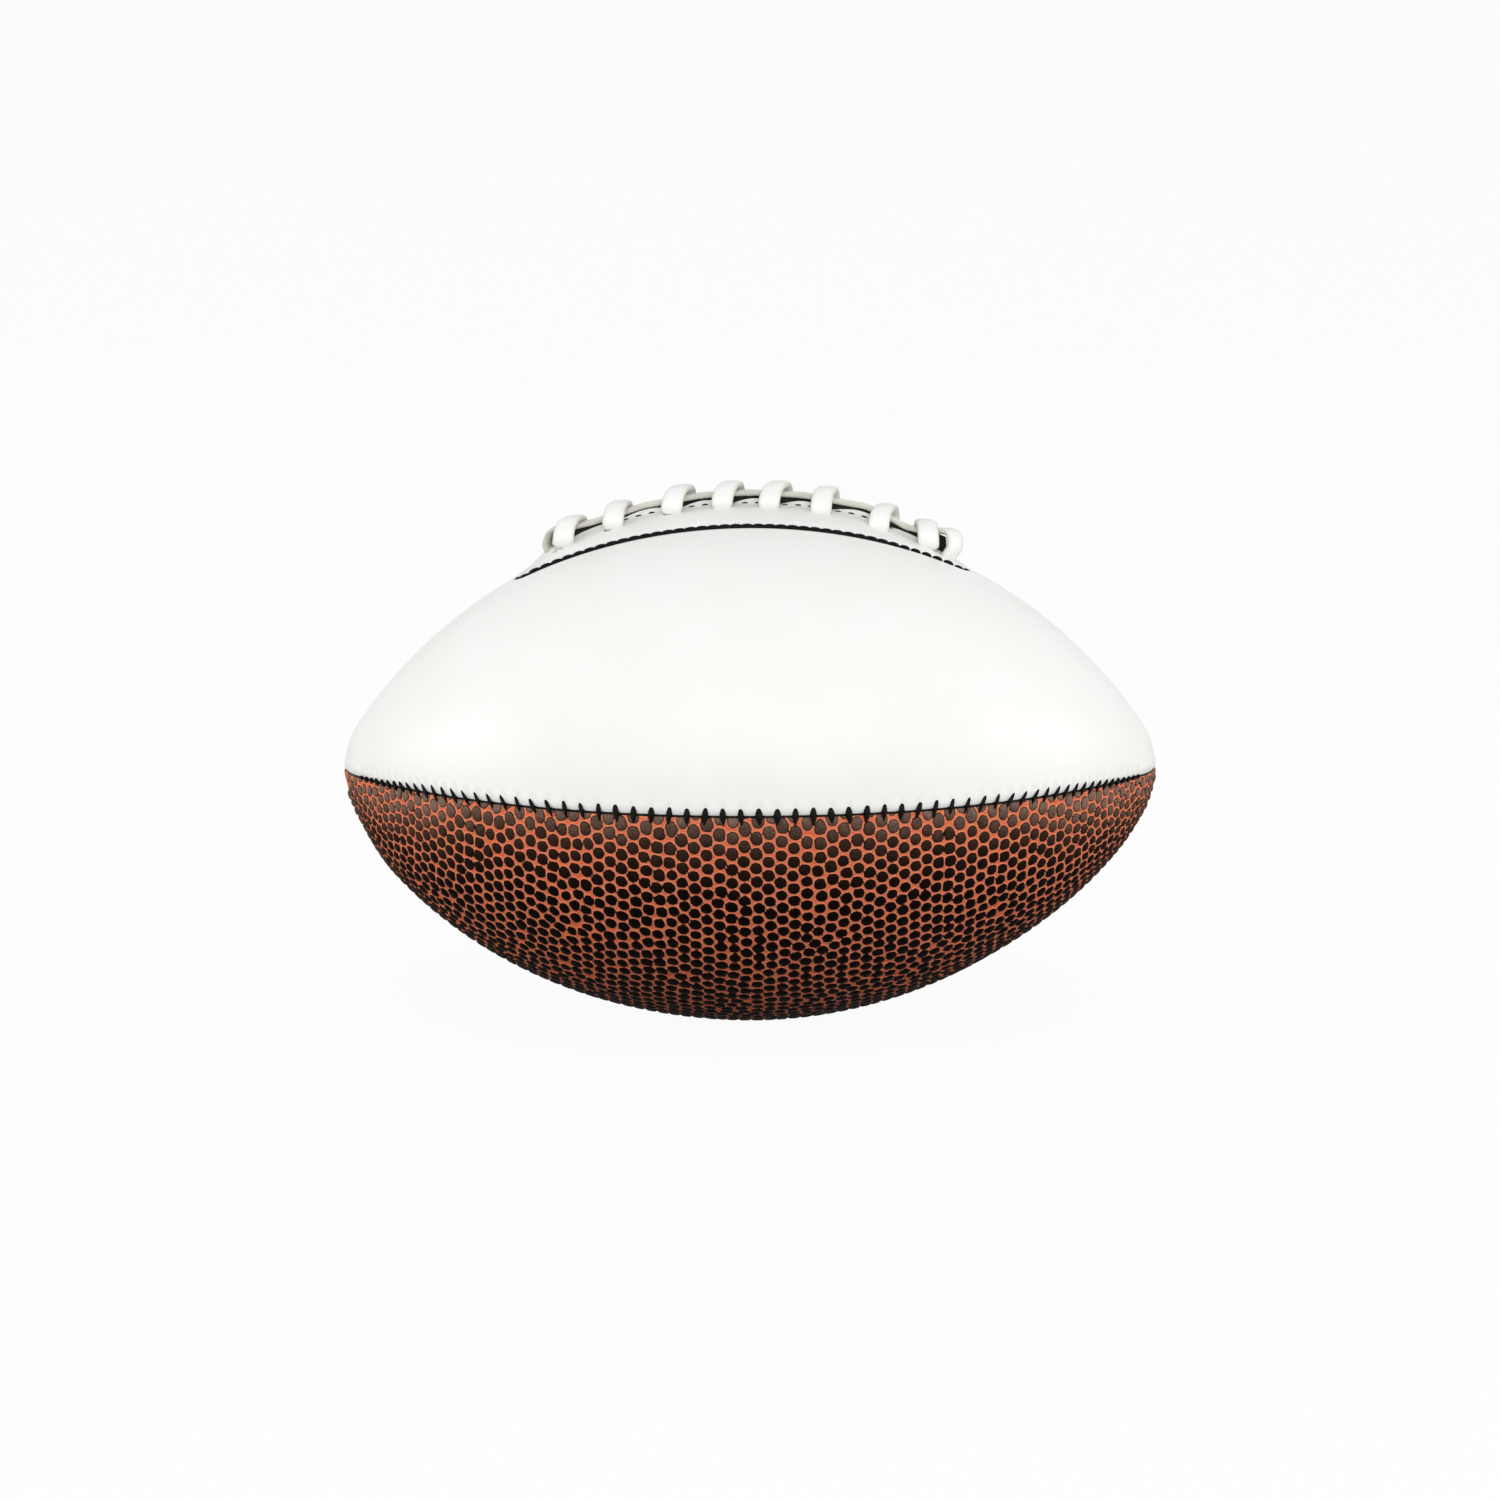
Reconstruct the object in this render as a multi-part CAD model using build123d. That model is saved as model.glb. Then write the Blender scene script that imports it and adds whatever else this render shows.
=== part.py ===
from build123d import *
from math import asin, atan2, cos, degrees, pi, radians, sin, sqrt
import os

# A small laced American football with two smooth white panels and two pebbled brown ones.
# X runs from tip to tip, Z is up with the laces on top, the front is towards -Y. Millimetres.
# Everything is modelled round the ball's axis and lifted at the end, so that it rests on z = 0.
# An inset is a depth below the smooth outer surface of the ball, along its normal.

# Ball body
BALL_LENGTH = 178.0
BALL_DIAMETER = 111.0
NOSE_RADIUS = 18.0
REST_FLAT_DEPTH = 0.2

# Layers, from the outside inwards
COVER_THICKNESS = 1.8
GLUE_LINE = 0.15
LINING_THICKNESS = 0.8
BLADDER_GAP = 0.3
BLADDER_WALL = 0.9

# Seams, each a shallow round groove with its thread lying in it
SEAM_GAP = 0.3
LINING_SEAM_GAP = 1.2
GROOVE_HALF_WIDTH = 2.8
GROOVE_DEPTH = 1.0
TIP_HOLE_RADIUS = 1.0
STITCH_PITCH = 3.83
STITCH_LENGTH = 4.3
STITCH_WIDTH = 1.2
STITCH_PROUD = 0.1
SEAM_CORD_WIDTH = 0.5
THREAD_CLEARANCE = 0.15
LAST_STITCH_GIRTH = 5.4

# Lace, one flat strand: a spine along the slit and straps across it
LACE_WIDTH = 5.0
LACE_THICKNESS = 1.6
LACE_CORNER = 0.6
LACE_STRAPS = 8
LACE_PITCH = 11.6
LACE_END_STEP = 5.9
LACE_HALF_SPAN = 4.6
LACE_BEND = 2.6
LACE_SELF_GAP = 0.5
LACE_TAIL = 4.0
LACE_CLEARANCE = 0.3

# Lace patch, the raised white strip that the lace goes through
PATCH_HALF_WIDTH = 9.5
PATCH_END_RADIUS = 6.0
PATCH_CROWN = 4.0
PATCH_EDGE = 0.9
PATCH_RIM_ROUND = 0.5
PATCH_TO_SPINE = 1.2
SLIT_WIDTH = 2.4
SLIT_END_MARGIN = 3.6
PATCH_STITCH_PITCH = 2.7
PATCH_STITCH_LENGTH = 2.1
PATCH_THREAD_DIAMETER = 1.1
SLIT_STITCH_PITCH = 2.9
SLIT_STITCH_LENGTH = 1.8
SLIT_THREAD_DIAMETER = 0.5
SLIT_STITCH_MARGIN = 0.8

# Tongue that keeps the lace off the bladder
TONGUE_THICKNESS = 1.2
TONGUE_SIDE_OVERHANG = 3.0
TONGUE_END_OVERHANG = 7.0
DENT_MARGIN = 1.5

# Inflation valve, low on the rear brown panel
VALVE_GIRTH_ANGLE = 225.0
VALVE_NECK_DIAMETER = 6.4
VALVE_HOLE_CLEARANCE = 0.3
VALVE_SINK = 0.4
VALVE_DEPTH = 13.0
VALVE_FLANGE_DIAMETER = 22.0
VALVE_FLANGE_THICKNESS = 1.2
VALVE_PATCH_DIAMETER = 30.0
VALVE_PATCH_THICKNESS = 0.6
CORE_DIAMETER = 3.8
CORE_HEAD_DIAMETER = 4.8
CORE_HEAD_THICKNESS = 1.4
CORE_CLEARANCE = 0.05
CORE_LIP = 1.4
NEEDLE_HOLE_DIAMETER = 2.06

# Sizes worked out for the body
HALF_LENGTH = BALL_LENGTH / 2
RADIUS = BALL_DIAMETER / 2
AXIS_HEIGHT = RADIUS - REST_FLAT_DEPTH
LINING_INSET = COVER_THICKNESS + GLUE_LINE
LINING_BACK = LINING_INSET + LINING_THICKNESS
BLADDER_INSET = LINING_BACK + BLADDER_GAP
BLADDER_BACK = BLADDER_INSET + BLADDER_WALL
SECTOR_MARGIN = 20.0


# Lens outline: two long side arcs with a tangent round end at each tip
def lens_sizes(half_length, half_width, end_radius):
    """Radius of the side arcs, distance of the end arcs' centres and the slope where they meet."""
    end_x = half_length - end_radius
    side_radius = (end_x**2 + half_width**2 - end_radius**2) / (2 * (half_width - end_radius))
    return side_radius, end_x, asin(end_x / (side_radius - end_radius))


def lens_edge(half_length, half_width, end_radius):
    """Upper half of a lens outline, from its left tip to its right tip."""
    side_radius, end_x, end_angle = lens_sizes(half_length, half_width, end_radius)

    def side(angle):
        return side_radius * sin(angle), side_radius * cos(angle) - side_radius + half_width

    def end(angle):
        return end_x + end_radius * sin(angle), end_radius * cos(angle)

    right = ThreePointArc(side(end_angle), end((end_angle + pi / 2) / 2), end(pi / 2))
    left = mirror(right, about=Plane.YZ)
    return left + ThreePointArc(side(-end_angle), side(0), side(end_angle)) + right


def lens_face(half_length, half_width, end_radius):
    edge = lens_edge(half_length, half_width, end_radius)
    return make_face(edge + mirror(edge, about=Plane.XZ))


BELLY_RADIUS, NOSE_X, NOSE_ANGLE = lens_sizes(HALF_LENGTH, RADIUS, NOSE_RADIUS)
BELLY_DROP = BELLY_RADIUS - RADIUS
BELLY_ARC = BELLY_RADIUS * NOSE_ANGLE


# Places on the ball, by arc length from its middle along a seam
def meridian(arc):
    """Distance along X, girth radius and slope angle."""
    side = 1 if arc >= 0 else -1
    if abs(arc) <= BELLY_ARC:
        slope = abs(arc) / BELLY_RADIUS
        along = BELLY_RADIUS * sin(slope)
        girth = BELLY_RADIUS * cos(slope) - BELLY_DROP
    else:
        slope = NOSE_ANGLE + (abs(arc) - BELLY_ARC) / NOSE_RADIUS
        along = NOSE_X + NOSE_RADIUS * sin(slope)
        girth = NOSE_RADIUS * cos(slope)
    return side * along, girth, side * slope


def seam_edge(start_arc, end_arc, inset):
    """Tangent arcs along the top seam at an inset, with their first and last points."""

    def at(arc):
        along, girth, slope = meridian(arc)
        return along - inset * sin(slope), girth - inset * cos(slope)

    joints = [stop for stop in (-BELLY_ARC, BELLY_ARC) if start_arc < stop < end_arc]
    stops = [start_arc, *joints, end_arc]
    arcs = [ThreePointArc(at(a), at((a + b) / 2), at(b)) for a, b in zip(stops, stops[1:])]
    return Curve() + arcs, at(start_arc), at(end_arc)


def seam_band(outer_inset, inner_inset, start_arc, end_arc, side_from, side_to):
    """Strip that follows the top seam between two insets and is straight across Y."""
    outer, outer_start, outer_end = seam_edge(start_arc, end_arc, outer_inset)
    inner, inner_start, inner_end = seam_edge(start_arc, end_arc, inner_inset)
    face = make_face(outer + inner + Line(outer_start, inner_start) + Line(outer_end, inner_end))
    return Pos(0, side_from, 0) * extrude(Plane.XZ * face, side_to - side_from, dir=(0, 1, 0))


def seam_place(arc, girth_angle=0.0):
    """Location on the surface: its X runs along the seam and its Z points outwards."""
    along, girth, slope = meridian(arc)
    turn = radians(girth_angle)
    outward = Vector(0, -sin(turn), cos(turn))
    axis = Vector(1, 0, 0)
    origin = axis * along + outward * girth
    tangent = axis * cos(slope) - outward * sin(slope)
    normal = axis * sin(slope) + outward * cos(slope)
    return Plane(origin=origin, x_dir=tangent, z_dir=normal).location


def laid_place(point, normal, heading, lift):
    """Location above a point of a surface: its X follows the heading as seen from above."""
    climb = -(normal.X * heading.X + normal.Y * heading.Y) / normal.Z
    return Plane(origin=point + normal * lift, x_dir=(heading.X, heading.Y, climb), z_dir=normal).location


def ball_top(x, y):
    """Point on the ball's upper side and the normal there."""
    girth = sqrt(BELLY_RADIUS**2 - x**2) - BELLY_DROP
    z = sqrt(girth**2 - y**2)
    reach = (girth + BELLY_DROP) / girth
    return Vector(x, y, z), Vector(x, reach * y, reach * z).normalized()


def stands_proud(point):
    """True for a point above the ball's upper side."""
    return point.Z > ball_top(point.X, point.Y)[0].Z


# Solids of the ball's body
def half_profile(inset):
    """Upper half of the ball's outline, closed along its axis."""
    tip = HALF_LENGTH - inset
    return make_face(lens_edge(tip, RADIUS - inset, NOSE_RADIUS - inset) + Line((-tip, 0), (tip, 0)))


def ball_solid(inset):
    return revolve(Plane.XZ * half_profile(inset), Axis.X, 360)


def ball_quarter(inset, back, girth_angle, gap):
    """Wall between two insets, from one seam to the next and short of each by half the gap."""
    wall = half_profile(inset) - half_profile(back)
    sector = Rot(-SECTOR_MARGIN, 0, 0) * revolve(Plane.XZ * wall, Axis.X, 90 + 2 * SECTOR_MARGIN)
    size = BALL_LENGTH + BALL_DIAMETER
    corner = Box(size, size, size, align=(Align.CENTER, Align.MAX, Align.MIN))
    return Rot(girth_angle, 0, 0) * (sector & (Pos(0, -gap / 2, gap / 2) * corner))


def floor_block(clearance=0.0):
    block = Box(BALL_LENGTH, BALL_LENGTH, BALL_LENGTH, align=(Align.CENTER, Align.CENTER, Align.MAX))
    return Pos(0, 0, clearance - AXIS_HEIGHT) * block


def tip_hole():
    return Rot(0, 90, 0) * Cylinder(TIP_HOLE_RADIUS, 2 * BALL_LENGTH)


# Seam grooves and seam thread
GROOVE_RADIUS = (GROOVE_HALF_WIDTH**2 + GROOVE_DEPTH**2) / (2 * GROOVE_DEPTH)
GROOVE_RISE = GROOVE_RADIUS - GROOVE_DEPTH
CORD_BACK = GROOVE_DEPTH - THREAD_CLEARANCE


def seam_groove(girth_angle):
    """Closed ring that cuts the grooves of two opposite seams."""
    edge = lens_edge(HALF_LENGTH + GROOVE_RISE, RADIUS + GROOVE_RISE, NOSE_RADIUS + GROOVE_RISE)
    path = Wire((Plane.XZ * (edge + mirror(edge, about=Plane.XZ))).edges())
    section = Plane(origin=path @ 0, z_dir=path % 0) * Circle(GROOVE_RADIUS)
    return Rot(girth_angle, 0, 0) * sweep(section, path)


def stitch():
    """One leaf-shaped bar of thread across the seam, with its back bent to the groove."""
    half_length, half_width = STITCH_LENGTH / 2, STITCH_WIDTH / 2
    tips = (0, -half_length), (0, half_length)
    leaf = make_face(
        ThreePointArc(tips[0], (half_width, 0), tips[1]) + ThreePointArc(tips[1], (-half_width, 0), tips[0])
    )
    block = Pos(0, 0, STITCH_PROUD) * extrude(leaf, -GROOVE_RADIUS)
    bed = Rot(0, 90, 0) * Cylinder(GROOVE_RADIUS - THREAD_CLEARANCE, STITCH_LENGTH)
    return block & (Pos(0, 0, GROOVE_RISE) * bed)


def stitch_arcs():
    """Places of the stitches along one half of a seam."""
    arcs = [STITCH_PITCH / 2]
    while meridian(arcs[-1] + STITCH_PITCH)[1] >= LAST_STITCH_GIRTH:
        arcs.append(arcs[-1] + STITCH_PITCH)
    return arcs


def seam_cord(start_arc, end_arc):
    """Cord along the bottom of the top seam's groove."""
    half = SEAM_CORD_WIDTH / 2
    return seam_band(CORD_BACK - SEAM_CORD_WIDTH, CORD_BACK, start_arc, end_arc, -half, half)


def seam_thread(arcs, girth_angle):
    """Cord along the bottom of a groove, with a stitch across it at each place."""
    bar = stitch()
    cord = seam_cord(arcs[0], arcs[-1])
    return Rot(girth_angle, 0, 0) * (cord + [seam_place(arc) * bar for arc in arcs])


# Lacing: heights above the surface, insets below it and places along the top seam
SPINE_BASE = PATCH_CROWN + PATCH_TO_SPINE
SPINE_MIDDLE = SPINE_BASE + LACE_THICKNESS / 2
STRAP_MIDDLE = SPINE_BASE + 1.5 * LACE_THICKNESS + LACE_SELF_GAP
STRAP_ARCS = [(i - (LACE_STRAPS - 1) / 2) * LACE_PITCH for i in range(LACE_STRAPS)]
END_HOLE_ARC = STRAP_ARCS[-1] + LACE_END_STEP
END_HOLE_X = meridian(END_HOLE_ARC)[0]
RUN_HALF_WIDTH = LACE_HALF_SPAN + LACE_WIDTH / 2
RUN_SAG = RUN_HALF_WIDTH**2 / (2 * (meridian(END_HOLE_ARC)[1] - LINING_BACK))
RUN_INSET = LINING_BACK + LACE_CLEARANCE + RUN_SAG
RUN_BACK = RUN_INSET + LACE_THICKNESS
RUN_MIDDLE = RUN_INSET + LACE_THICKNESS / 2
TONGUE_INSET = RUN_BACK + LACE_CLEARANCE
TONGUE_BACK = TONGUE_INSET + TONGUE_THICKNESS
TONGUE_HALF_WIDTH = RUN_HALF_WIDTH + TONGUE_SIDE_OVERHANG
TONGUE_HALF_ARC = END_HOLE_ARC + TONGUE_END_OVERHANG
DENT_INSET = TONGUE_BACK + BLADDER_GAP
SLIT_HALF_LENGTH = END_HOLE_X - SLIT_END_MARGIN
COLUMN_HEIGHT = RADIUS + STRAP_MIDDLE + LACE_THICKNESS


def lace_section():
    return RectangleRounded(LACE_WIDTH, LACE_THICKNESS, LACE_CORNER)


def lace_hole(arc, lateral, quarter_turn):
    """Slot through patch, cover and lining for one leg of the lace."""
    slot = SlotOverall(LACE_WIDTH + 2 * LACE_CLEARANCE, LACE_THICKNESS + 2 * LACE_CLEARANCE)
    deep = extrude(slot, RUN_BACK + STRAP_MIDDLE, both=True)
    return seam_place(arc) * Pos(0, lateral, 0) * Rot(0, 0, quarter_turn) * deep


def lace_openings():
    """Slit, strap holes and end holes, as cutters."""
    slit = extrude(SlotOverall(2 * SLIT_HALF_LENGTH, SLIT_WIDTH), COLUMN_HEIGHT)
    straps = [lace_hole(arc, side * LACE_HALF_SPAN, 0) for arc in STRAP_ARCS for side in (-1, 1)]
    ends = [lace_hole(side * END_HOLE_ARC, 0, 90) for side in (-1, 1)]
    return [slit, *straps, *ends]


def lace_strap():
    """Strap over the spine, with a leg down each side, standing on the surface."""
    path = Plane.YZ * FilletPolyline(
        (-LACE_HALF_SPAN, -RUN_MIDDLE),
        (-LACE_HALF_SPAN, STRAP_MIDDLE),
        (LACE_HALF_SPAN, STRAP_MIDDLE),
        (LACE_HALF_SPAN, -RUN_MIDDLE),
        radius=LACE_BEND,
    )
    return sweep(Pos(path @ 0) * lace_section(), path)


def lace_spine():
    """Long strand under the straps, bent down into the hole at each end."""
    reach = BELLY_RADIUS + SPINE_MIDDLE
    end_angle = END_HOLE_ARC / BELLY_RADIUS
    bend_angle = end_angle - asin(LACE_BEND / (reach - LACE_BEND))

    def at(distance, angle):
        return distance * sin(angle), distance * cos(angle) - BELLY_DROP

    centre = Vector(*at(reach - LACE_BEND, bend_angle))
    half_turn = (bend_angle + end_angle + pi / 2) / 2
    bend_middle = centre + Vector(sin(half_turn), cos(half_turn)) * LACE_BEND
    leg_top = at(sqrt((reach - LACE_BEND) ** 2 - LACE_BEND**2), end_angle)
    right = ThreePointArc(at(reach, bend_angle), bend_middle, leg_top)
    right += Line(leg_top, at(BELLY_RADIUS - RUN_MIDDLE, end_angle))
    back = ThreePointArc(at(reach, -bend_angle), at(reach, 0), at(reach, bend_angle))
    path = Wire((Plane.XZ * (mirror(right, about=Plane.YZ) + back + right)).edges())
    return sweep(Plane(origin=path @ 0, x_dir=(0, 1, 0), z_dir=path % 0) * lace_section(), path)


def lace_runs():
    """Flat stretches inside the ball: strap to strap on alternate sides, a link and a tail."""
    half = LACE_WIDTH / 2
    runs = []
    for i in range(LACE_STRAPS - 1):
        side = LACE_HALF_SPAN if i % 2 == 0 else -LACE_HALF_SPAN
        start, end = STRAP_ARCS[i] - half, STRAP_ARCS[i + 1] + half
        runs.append(seam_band(RUN_INSET, RUN_BACK, start, end, side - half, side + half))
    depth = seam_band(
        RUN_INSET, RUN_BACK, -TONGUE_HALF_ARC, TONGUE_HALF_ARC, -TONGUE_HALF_WIDTH, TONGUE_HALF_WIDTH
    )
    hole = Vector(-END_HOLE_X, 0)
    first_leg = Vector(meridian(STRAP_ARCS[0])[0], -LACE_HALF_SPAN)
    across = first_leg - hole
    heading = degrees(atan2(across.Y, across.X))
    link = Pos((hole + first_leg) / 2) * Rot(0, 0, heading) * SlotCenterToCenter(across.length, LACE_WIDTH)
    tail = Pos(END_HOLE_X + LACE_TAIL / 2, 0) * SlotCenterToCenter(LACE_TAIL, LACE_WIDTH)
    return runs + [extrude(plan, COLUMN_HEIGHT) & depth for plan in (link, tail)]


def lace():
    spine = lace_spine()
    strap = lace_strap()
    straps = [seam_place(arc) * strap for arc in STRAP_ARCS]
    gap = min(spine.distance_to(one) for one in straps)
    print(f"Least gap between the lace's spine and its straps: {gap:.2f} mm")
    return spine + straps + lace_runs()


# Lace patch: an oval strip with a crowned top
PATCH_HALF_LENGTH = END_HOLE_X + PATCH_END_RADIUS
PATCH_TOP = RADIUS + PATCH_CROWN


def arc_through(half_chord, drop):
    return (half_chord**2 + drop**2) / (2 * drop)


PATCH_TIP_DROP = PATCH_TOP - PATCH_EDGE - sqrt(BELLY_RADIUS**2 - PATCH_HALF_LENGTH**2) + BELLY_DROP
PATCH_SIDE_DROP = PATCH_TOP - PATCH_EDGE - sqrt(RADIUS**2 - PATCH_HALF_WIDTH**2)
PATCH_ARC_RADIUS = arc_through(PATCH_HALF_LENGTH, PATCH_TIP_DROP)
PATCH_SECTION_RADIUS = arc_through(PATCH_HALF_WIDTH, PATCH_SIDE_DROP)
PATCH_CENTRE_Z = PATCH_TOP - PATCH_ARC_RADIUS
TOP_SEAM_START = PATCH_HALF_LENGTH + PATCH_THREAD_DIAMETER + STITCH_WIDTH + 2 * THREAD_CLEARANCE


def patch_top(x, y):
    """Point on the crowned top of the patch and the normal there."""
    tilt = asin(y / PATCH_SECTION_RADIUS)
    reach = PATCH_ARC_RADIUS - PATCH_SECTION_RADIUS * (1 - cos(tilt))
    rise = sqrt(reach**2 - x**2)
    normal = Vector(x / reach * cos(tilt), sin(tilt), rise / reach * cos(tilt))
    return Vector(x, y, PATCH_CENTRE_Z + rise), normal


def lace_patch():
    """Oval strip: the same crown across it all along, bent to an arc lengthways."""
    plan = lens_face(PATCH_HALF_LENGTH, PATCH_HALF_WIDTH, PATCH_END_RADIUS)
    ring = Torus(PATCH_ARC_RADIUS - PATCH_SECTION_RADIUS, PATCH_SECTION_RADIUS)
    block = extrude(plan, COLUMN_HEIGHT) & (Pos(0, 0, PATCH_CENTRE_Z) * Rot(90, 0, 0) * ring)
    rim = [edge for edge in block.edges() if stands_proud(edge.center())]
    return fillet(rim, PATCH_RIM_ROUND) - [ball_solid(-GLUE_LINE), *lace_openings()]


def thread_dash(length, diameter):
    """Short straight stitch along X."""
    return Rot(0, 90, 0) * Cylinder(diameter / 2, length)


def patch_edge_thread():
    """Dashes round the patch, on the panels close beside its edge."""
    beside = PATCH_THREAD_DIAMETER / 2 + THREAD_CLEARANCE
    edge = lens_edge(PATCH_HALF_LENGTH + beside, PATCH_HALF_WIDTH + beside, PATCH_END_RADIUS + beside)
    outline = Wire((edge + mirror(edge, about=Plane.XZ)).edges())
    count = round(outline.length / PATCH_STITCH_PITCH)
    dash = thread_dash(PATCH_STITCH_LENGTH, PATCH_THREAD_DIAMETER)
    dashes = []
    for i in range(count):
        point, heading = outline @ (i / count), outline % (i / count)
        dashes.append(laid_place(*ball_top(point.X, point.Y), heading, beside) * dash)
    return dashes


def slit_edge_thread():
    """Dashes on the patch along both sides of the slit."""
    lift = SLIT_THREAD_DIAMETER / 2 + THREAD_CLEARANCE
    side_y = SLIT_WIDTH / 2 + SLIT_STITCH_MARGIN
    count = int(2 * SLIT_HALF_LENGTH / SLIT_STITCH_PITCH)
    dash = thread_dash(SLIT_STITCH_LENGTH, SLIT_THREAD_DIAMETER)
    dashes = []
    for i in range(count):
        x = (i - (count - 1) / 2) * SLIT_STITCH_PITCH
        for y in (-side_y, side_y):
            dashes.append(laid_place(*patch_top(x, y), Vector(1, 0, 0), lift) * dash)
    return dashes


# Bladder and valve
def dent(grow):
    """Hollow along the top of the bladder that makes room for the tongue."""
    half_arc = TONGUE_HALF_ARC + DENT_MARGIN + grow
    half_width = TONGUE_HALF_WIDTH + DENT_MARGIN + grow
    return seam_band(-BLADDER_INSET, DENT_INSET + grow, -half_arc, half_arc, -half_width, half_width)


VALVE_PLACE = seam_place(0, VALVE_GIRTH_ANGLE)
VALVE_PATCH_INSET = BLADDER_BACK + GLUE_LINE
VALVE_PATCH_BACK = VALVE_PATCH_INSET + VALVE_PATCH_THICKNESS
FLANGE_INSET = VALVE_PATCH_BACK + GLUE_LINE
FLANGE_BACK = FLANGE_INSET + VALVE_FLANGE_THICKNESS


def valve_round(diameter, top_inset, bottom_inset):
    """Cylinder on the valve's axis between two insets."""
    plug = Cylinder(
        diameter / 2, bottom_inset - top_inset, align=(Align.CENTER, Align.CENTER, Align.MAX)
    )
    return VALVE_PLACE * Pos(0, 0, -top_inset) * plug


def valve_hole():
    return valve_round(VALVE_NECK_DIAMETER + 2 * VALVE_HOLE_CLEARANCE, -VALVE_DEPTH, VALVE_DEPTH)


def valve_disc(diameter, inset, back):
    """Round piece that follows the ball's curve between two insets."""
    wall = ball_solid(inset) - ball_solid(back)
    return wall & valve_round(diameter, -VALVE_DEPTH, VALVE_DEPTH)


def valve_housing():
    neck = valve_round(VALVE_NECK_DIAMETER, VALVE_SINK, VALVE_DEPTH)
    seat = VALVE_SINK + CORE_HEAD_THICKNESS + CORE_CLEARANCE
    bore = valve_round(CORE_DIAMETER + 2 * CORE_CLEARANCE, 0, VALVE_DEPTH)
    head_room = valve_round(CORE_HEAD_DIAMETER + 2 * CORE_CLEARANCE, 0, seat)
    return neck + valve_disc(VALVE_FLANGE_DIAMETER, FLANGE_INSET, FLANGE_BACK) - [bore, head_room]


def valve_core():
    shank = valve_round(CORE_DIAMETER, VALVE_SINK, VALVE_DEPTH)
    head = valve_round(CORE_HEAD_DIAMETER, VALVE_SINK, VALVE_SINK + CORE_HEAD_THICKNESS)
    return shank + head - valve_round(NEEDLE_HOLE_DIAMETER, 0, VALVE_DEPTH - CORE_LIP)


# Panels, linings and everything together
PANELS = {"front_white": 0, "front_brown": 90, "rear_brown": 180, "rear_white": 270}


def panel_cutters(name):
    if name.endswith("white"):
        return lace_openings()
    if name == "rear_brown":
        return [floor_block(), valve_hole()]
    return [floor_block()]


def make_pieces():
    pieces = {}
    grooves = [seam_groove(0), seam_groove(90)]
    for name, girth_angle in PANELS.items():
        panel = ball_quarter(0, COVER_THICKNESS, girth_angle, SEAM_GAP)
        lining = ball_quarter(LINING_INSET, LINING_BACK, girth_angle, LINING_SEAM_GAP)
        cutters = [tip_hole(), *panel_cutters(name)]
        pieces[f"{name}_panel"] = panel - [*grooves, *cutters]
        pieces[f"{name}_panel_lining"] = lining - cutters

    half_seam = stitch_arcs()
    full_seam = [-arc for arc in reversed(half_seam)] + half_seam
    top_seam = BELLY_RADIUS * asin(TOP_SEAM_START / BELLY_RADIUS), half_seam[-1]
    pieces["front_seam_thread"] = seam_thread(full_seam, 90)
    pieces["rear_seam_thread"] = seam_thread(full_seam, 270)
    pieces["bottom_seam_thread"] = seam_thread(full_seam, 180) - floor_block(THREAD_CLEARANCE)
    pieces["top_left_seam_thread"] = seam_cord(-top_seam[1], -top_seam[0])
    pieces["top_right_seam_thread"] = seam_cord(*top_seam)

    pieces["lace"] = lace()
    pieces["lace_patch"] = lace_patch()
    pieces["lace_backing"] = seam_band(
        TONGUE_INSET, TONGUE_BACK, -TONGUE_HALF_ARC, TONGUE_HALF_ARC, -TONGUE_HALF_WIDTH, TONGUE_HALF_WIDTH
    )
    pieces["patch_edge_thread"] = Compound(children=patch_edge_thread())
    pieces["slit_edge_thread"] = Compound(children=slit_edge_thread())

    outer = ball_solid(BLADDER_INSET) - dent(0)
    inner = ball_solid(BLADDER_BACK) - dent(BLADDER_WALL)
    pieces["bladder"] = outer - [inner, valve_hole()]
    bond = valve_disc(VALVE_PATCH_DIAMETER, VALVE_PATCH_INSET, VALVE_PATCH_BACK)
    pieces["valve_patch"] = bond - valve_hole()
    pieces["valve_housing"] = valve_housing()
    pieces["valve_core"] = valve_core()
    return pieces


os.makedirs("parts", exist_ok=True)
for node, solid in make_pieces().items():
    export_step(Pos(0, 0, AXIS_HEIGHT) * solid, f"parts/{node}.step")
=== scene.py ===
import math
import random

import bmesh
import bpy
import numpy as np
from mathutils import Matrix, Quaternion, Vector, kdtree


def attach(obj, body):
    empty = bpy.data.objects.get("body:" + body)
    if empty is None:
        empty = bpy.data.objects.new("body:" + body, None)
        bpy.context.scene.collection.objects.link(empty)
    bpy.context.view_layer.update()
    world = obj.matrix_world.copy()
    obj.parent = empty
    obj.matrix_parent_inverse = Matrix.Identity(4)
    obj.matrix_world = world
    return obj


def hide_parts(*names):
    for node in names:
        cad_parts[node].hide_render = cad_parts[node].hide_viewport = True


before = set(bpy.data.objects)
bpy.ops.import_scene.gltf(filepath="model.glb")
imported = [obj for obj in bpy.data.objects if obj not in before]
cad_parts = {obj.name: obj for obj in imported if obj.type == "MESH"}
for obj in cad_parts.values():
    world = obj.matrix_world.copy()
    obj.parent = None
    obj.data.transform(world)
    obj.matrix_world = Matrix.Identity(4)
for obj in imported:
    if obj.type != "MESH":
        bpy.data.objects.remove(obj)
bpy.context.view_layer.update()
print("frame loaded,", len(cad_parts), "nodes")

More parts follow.
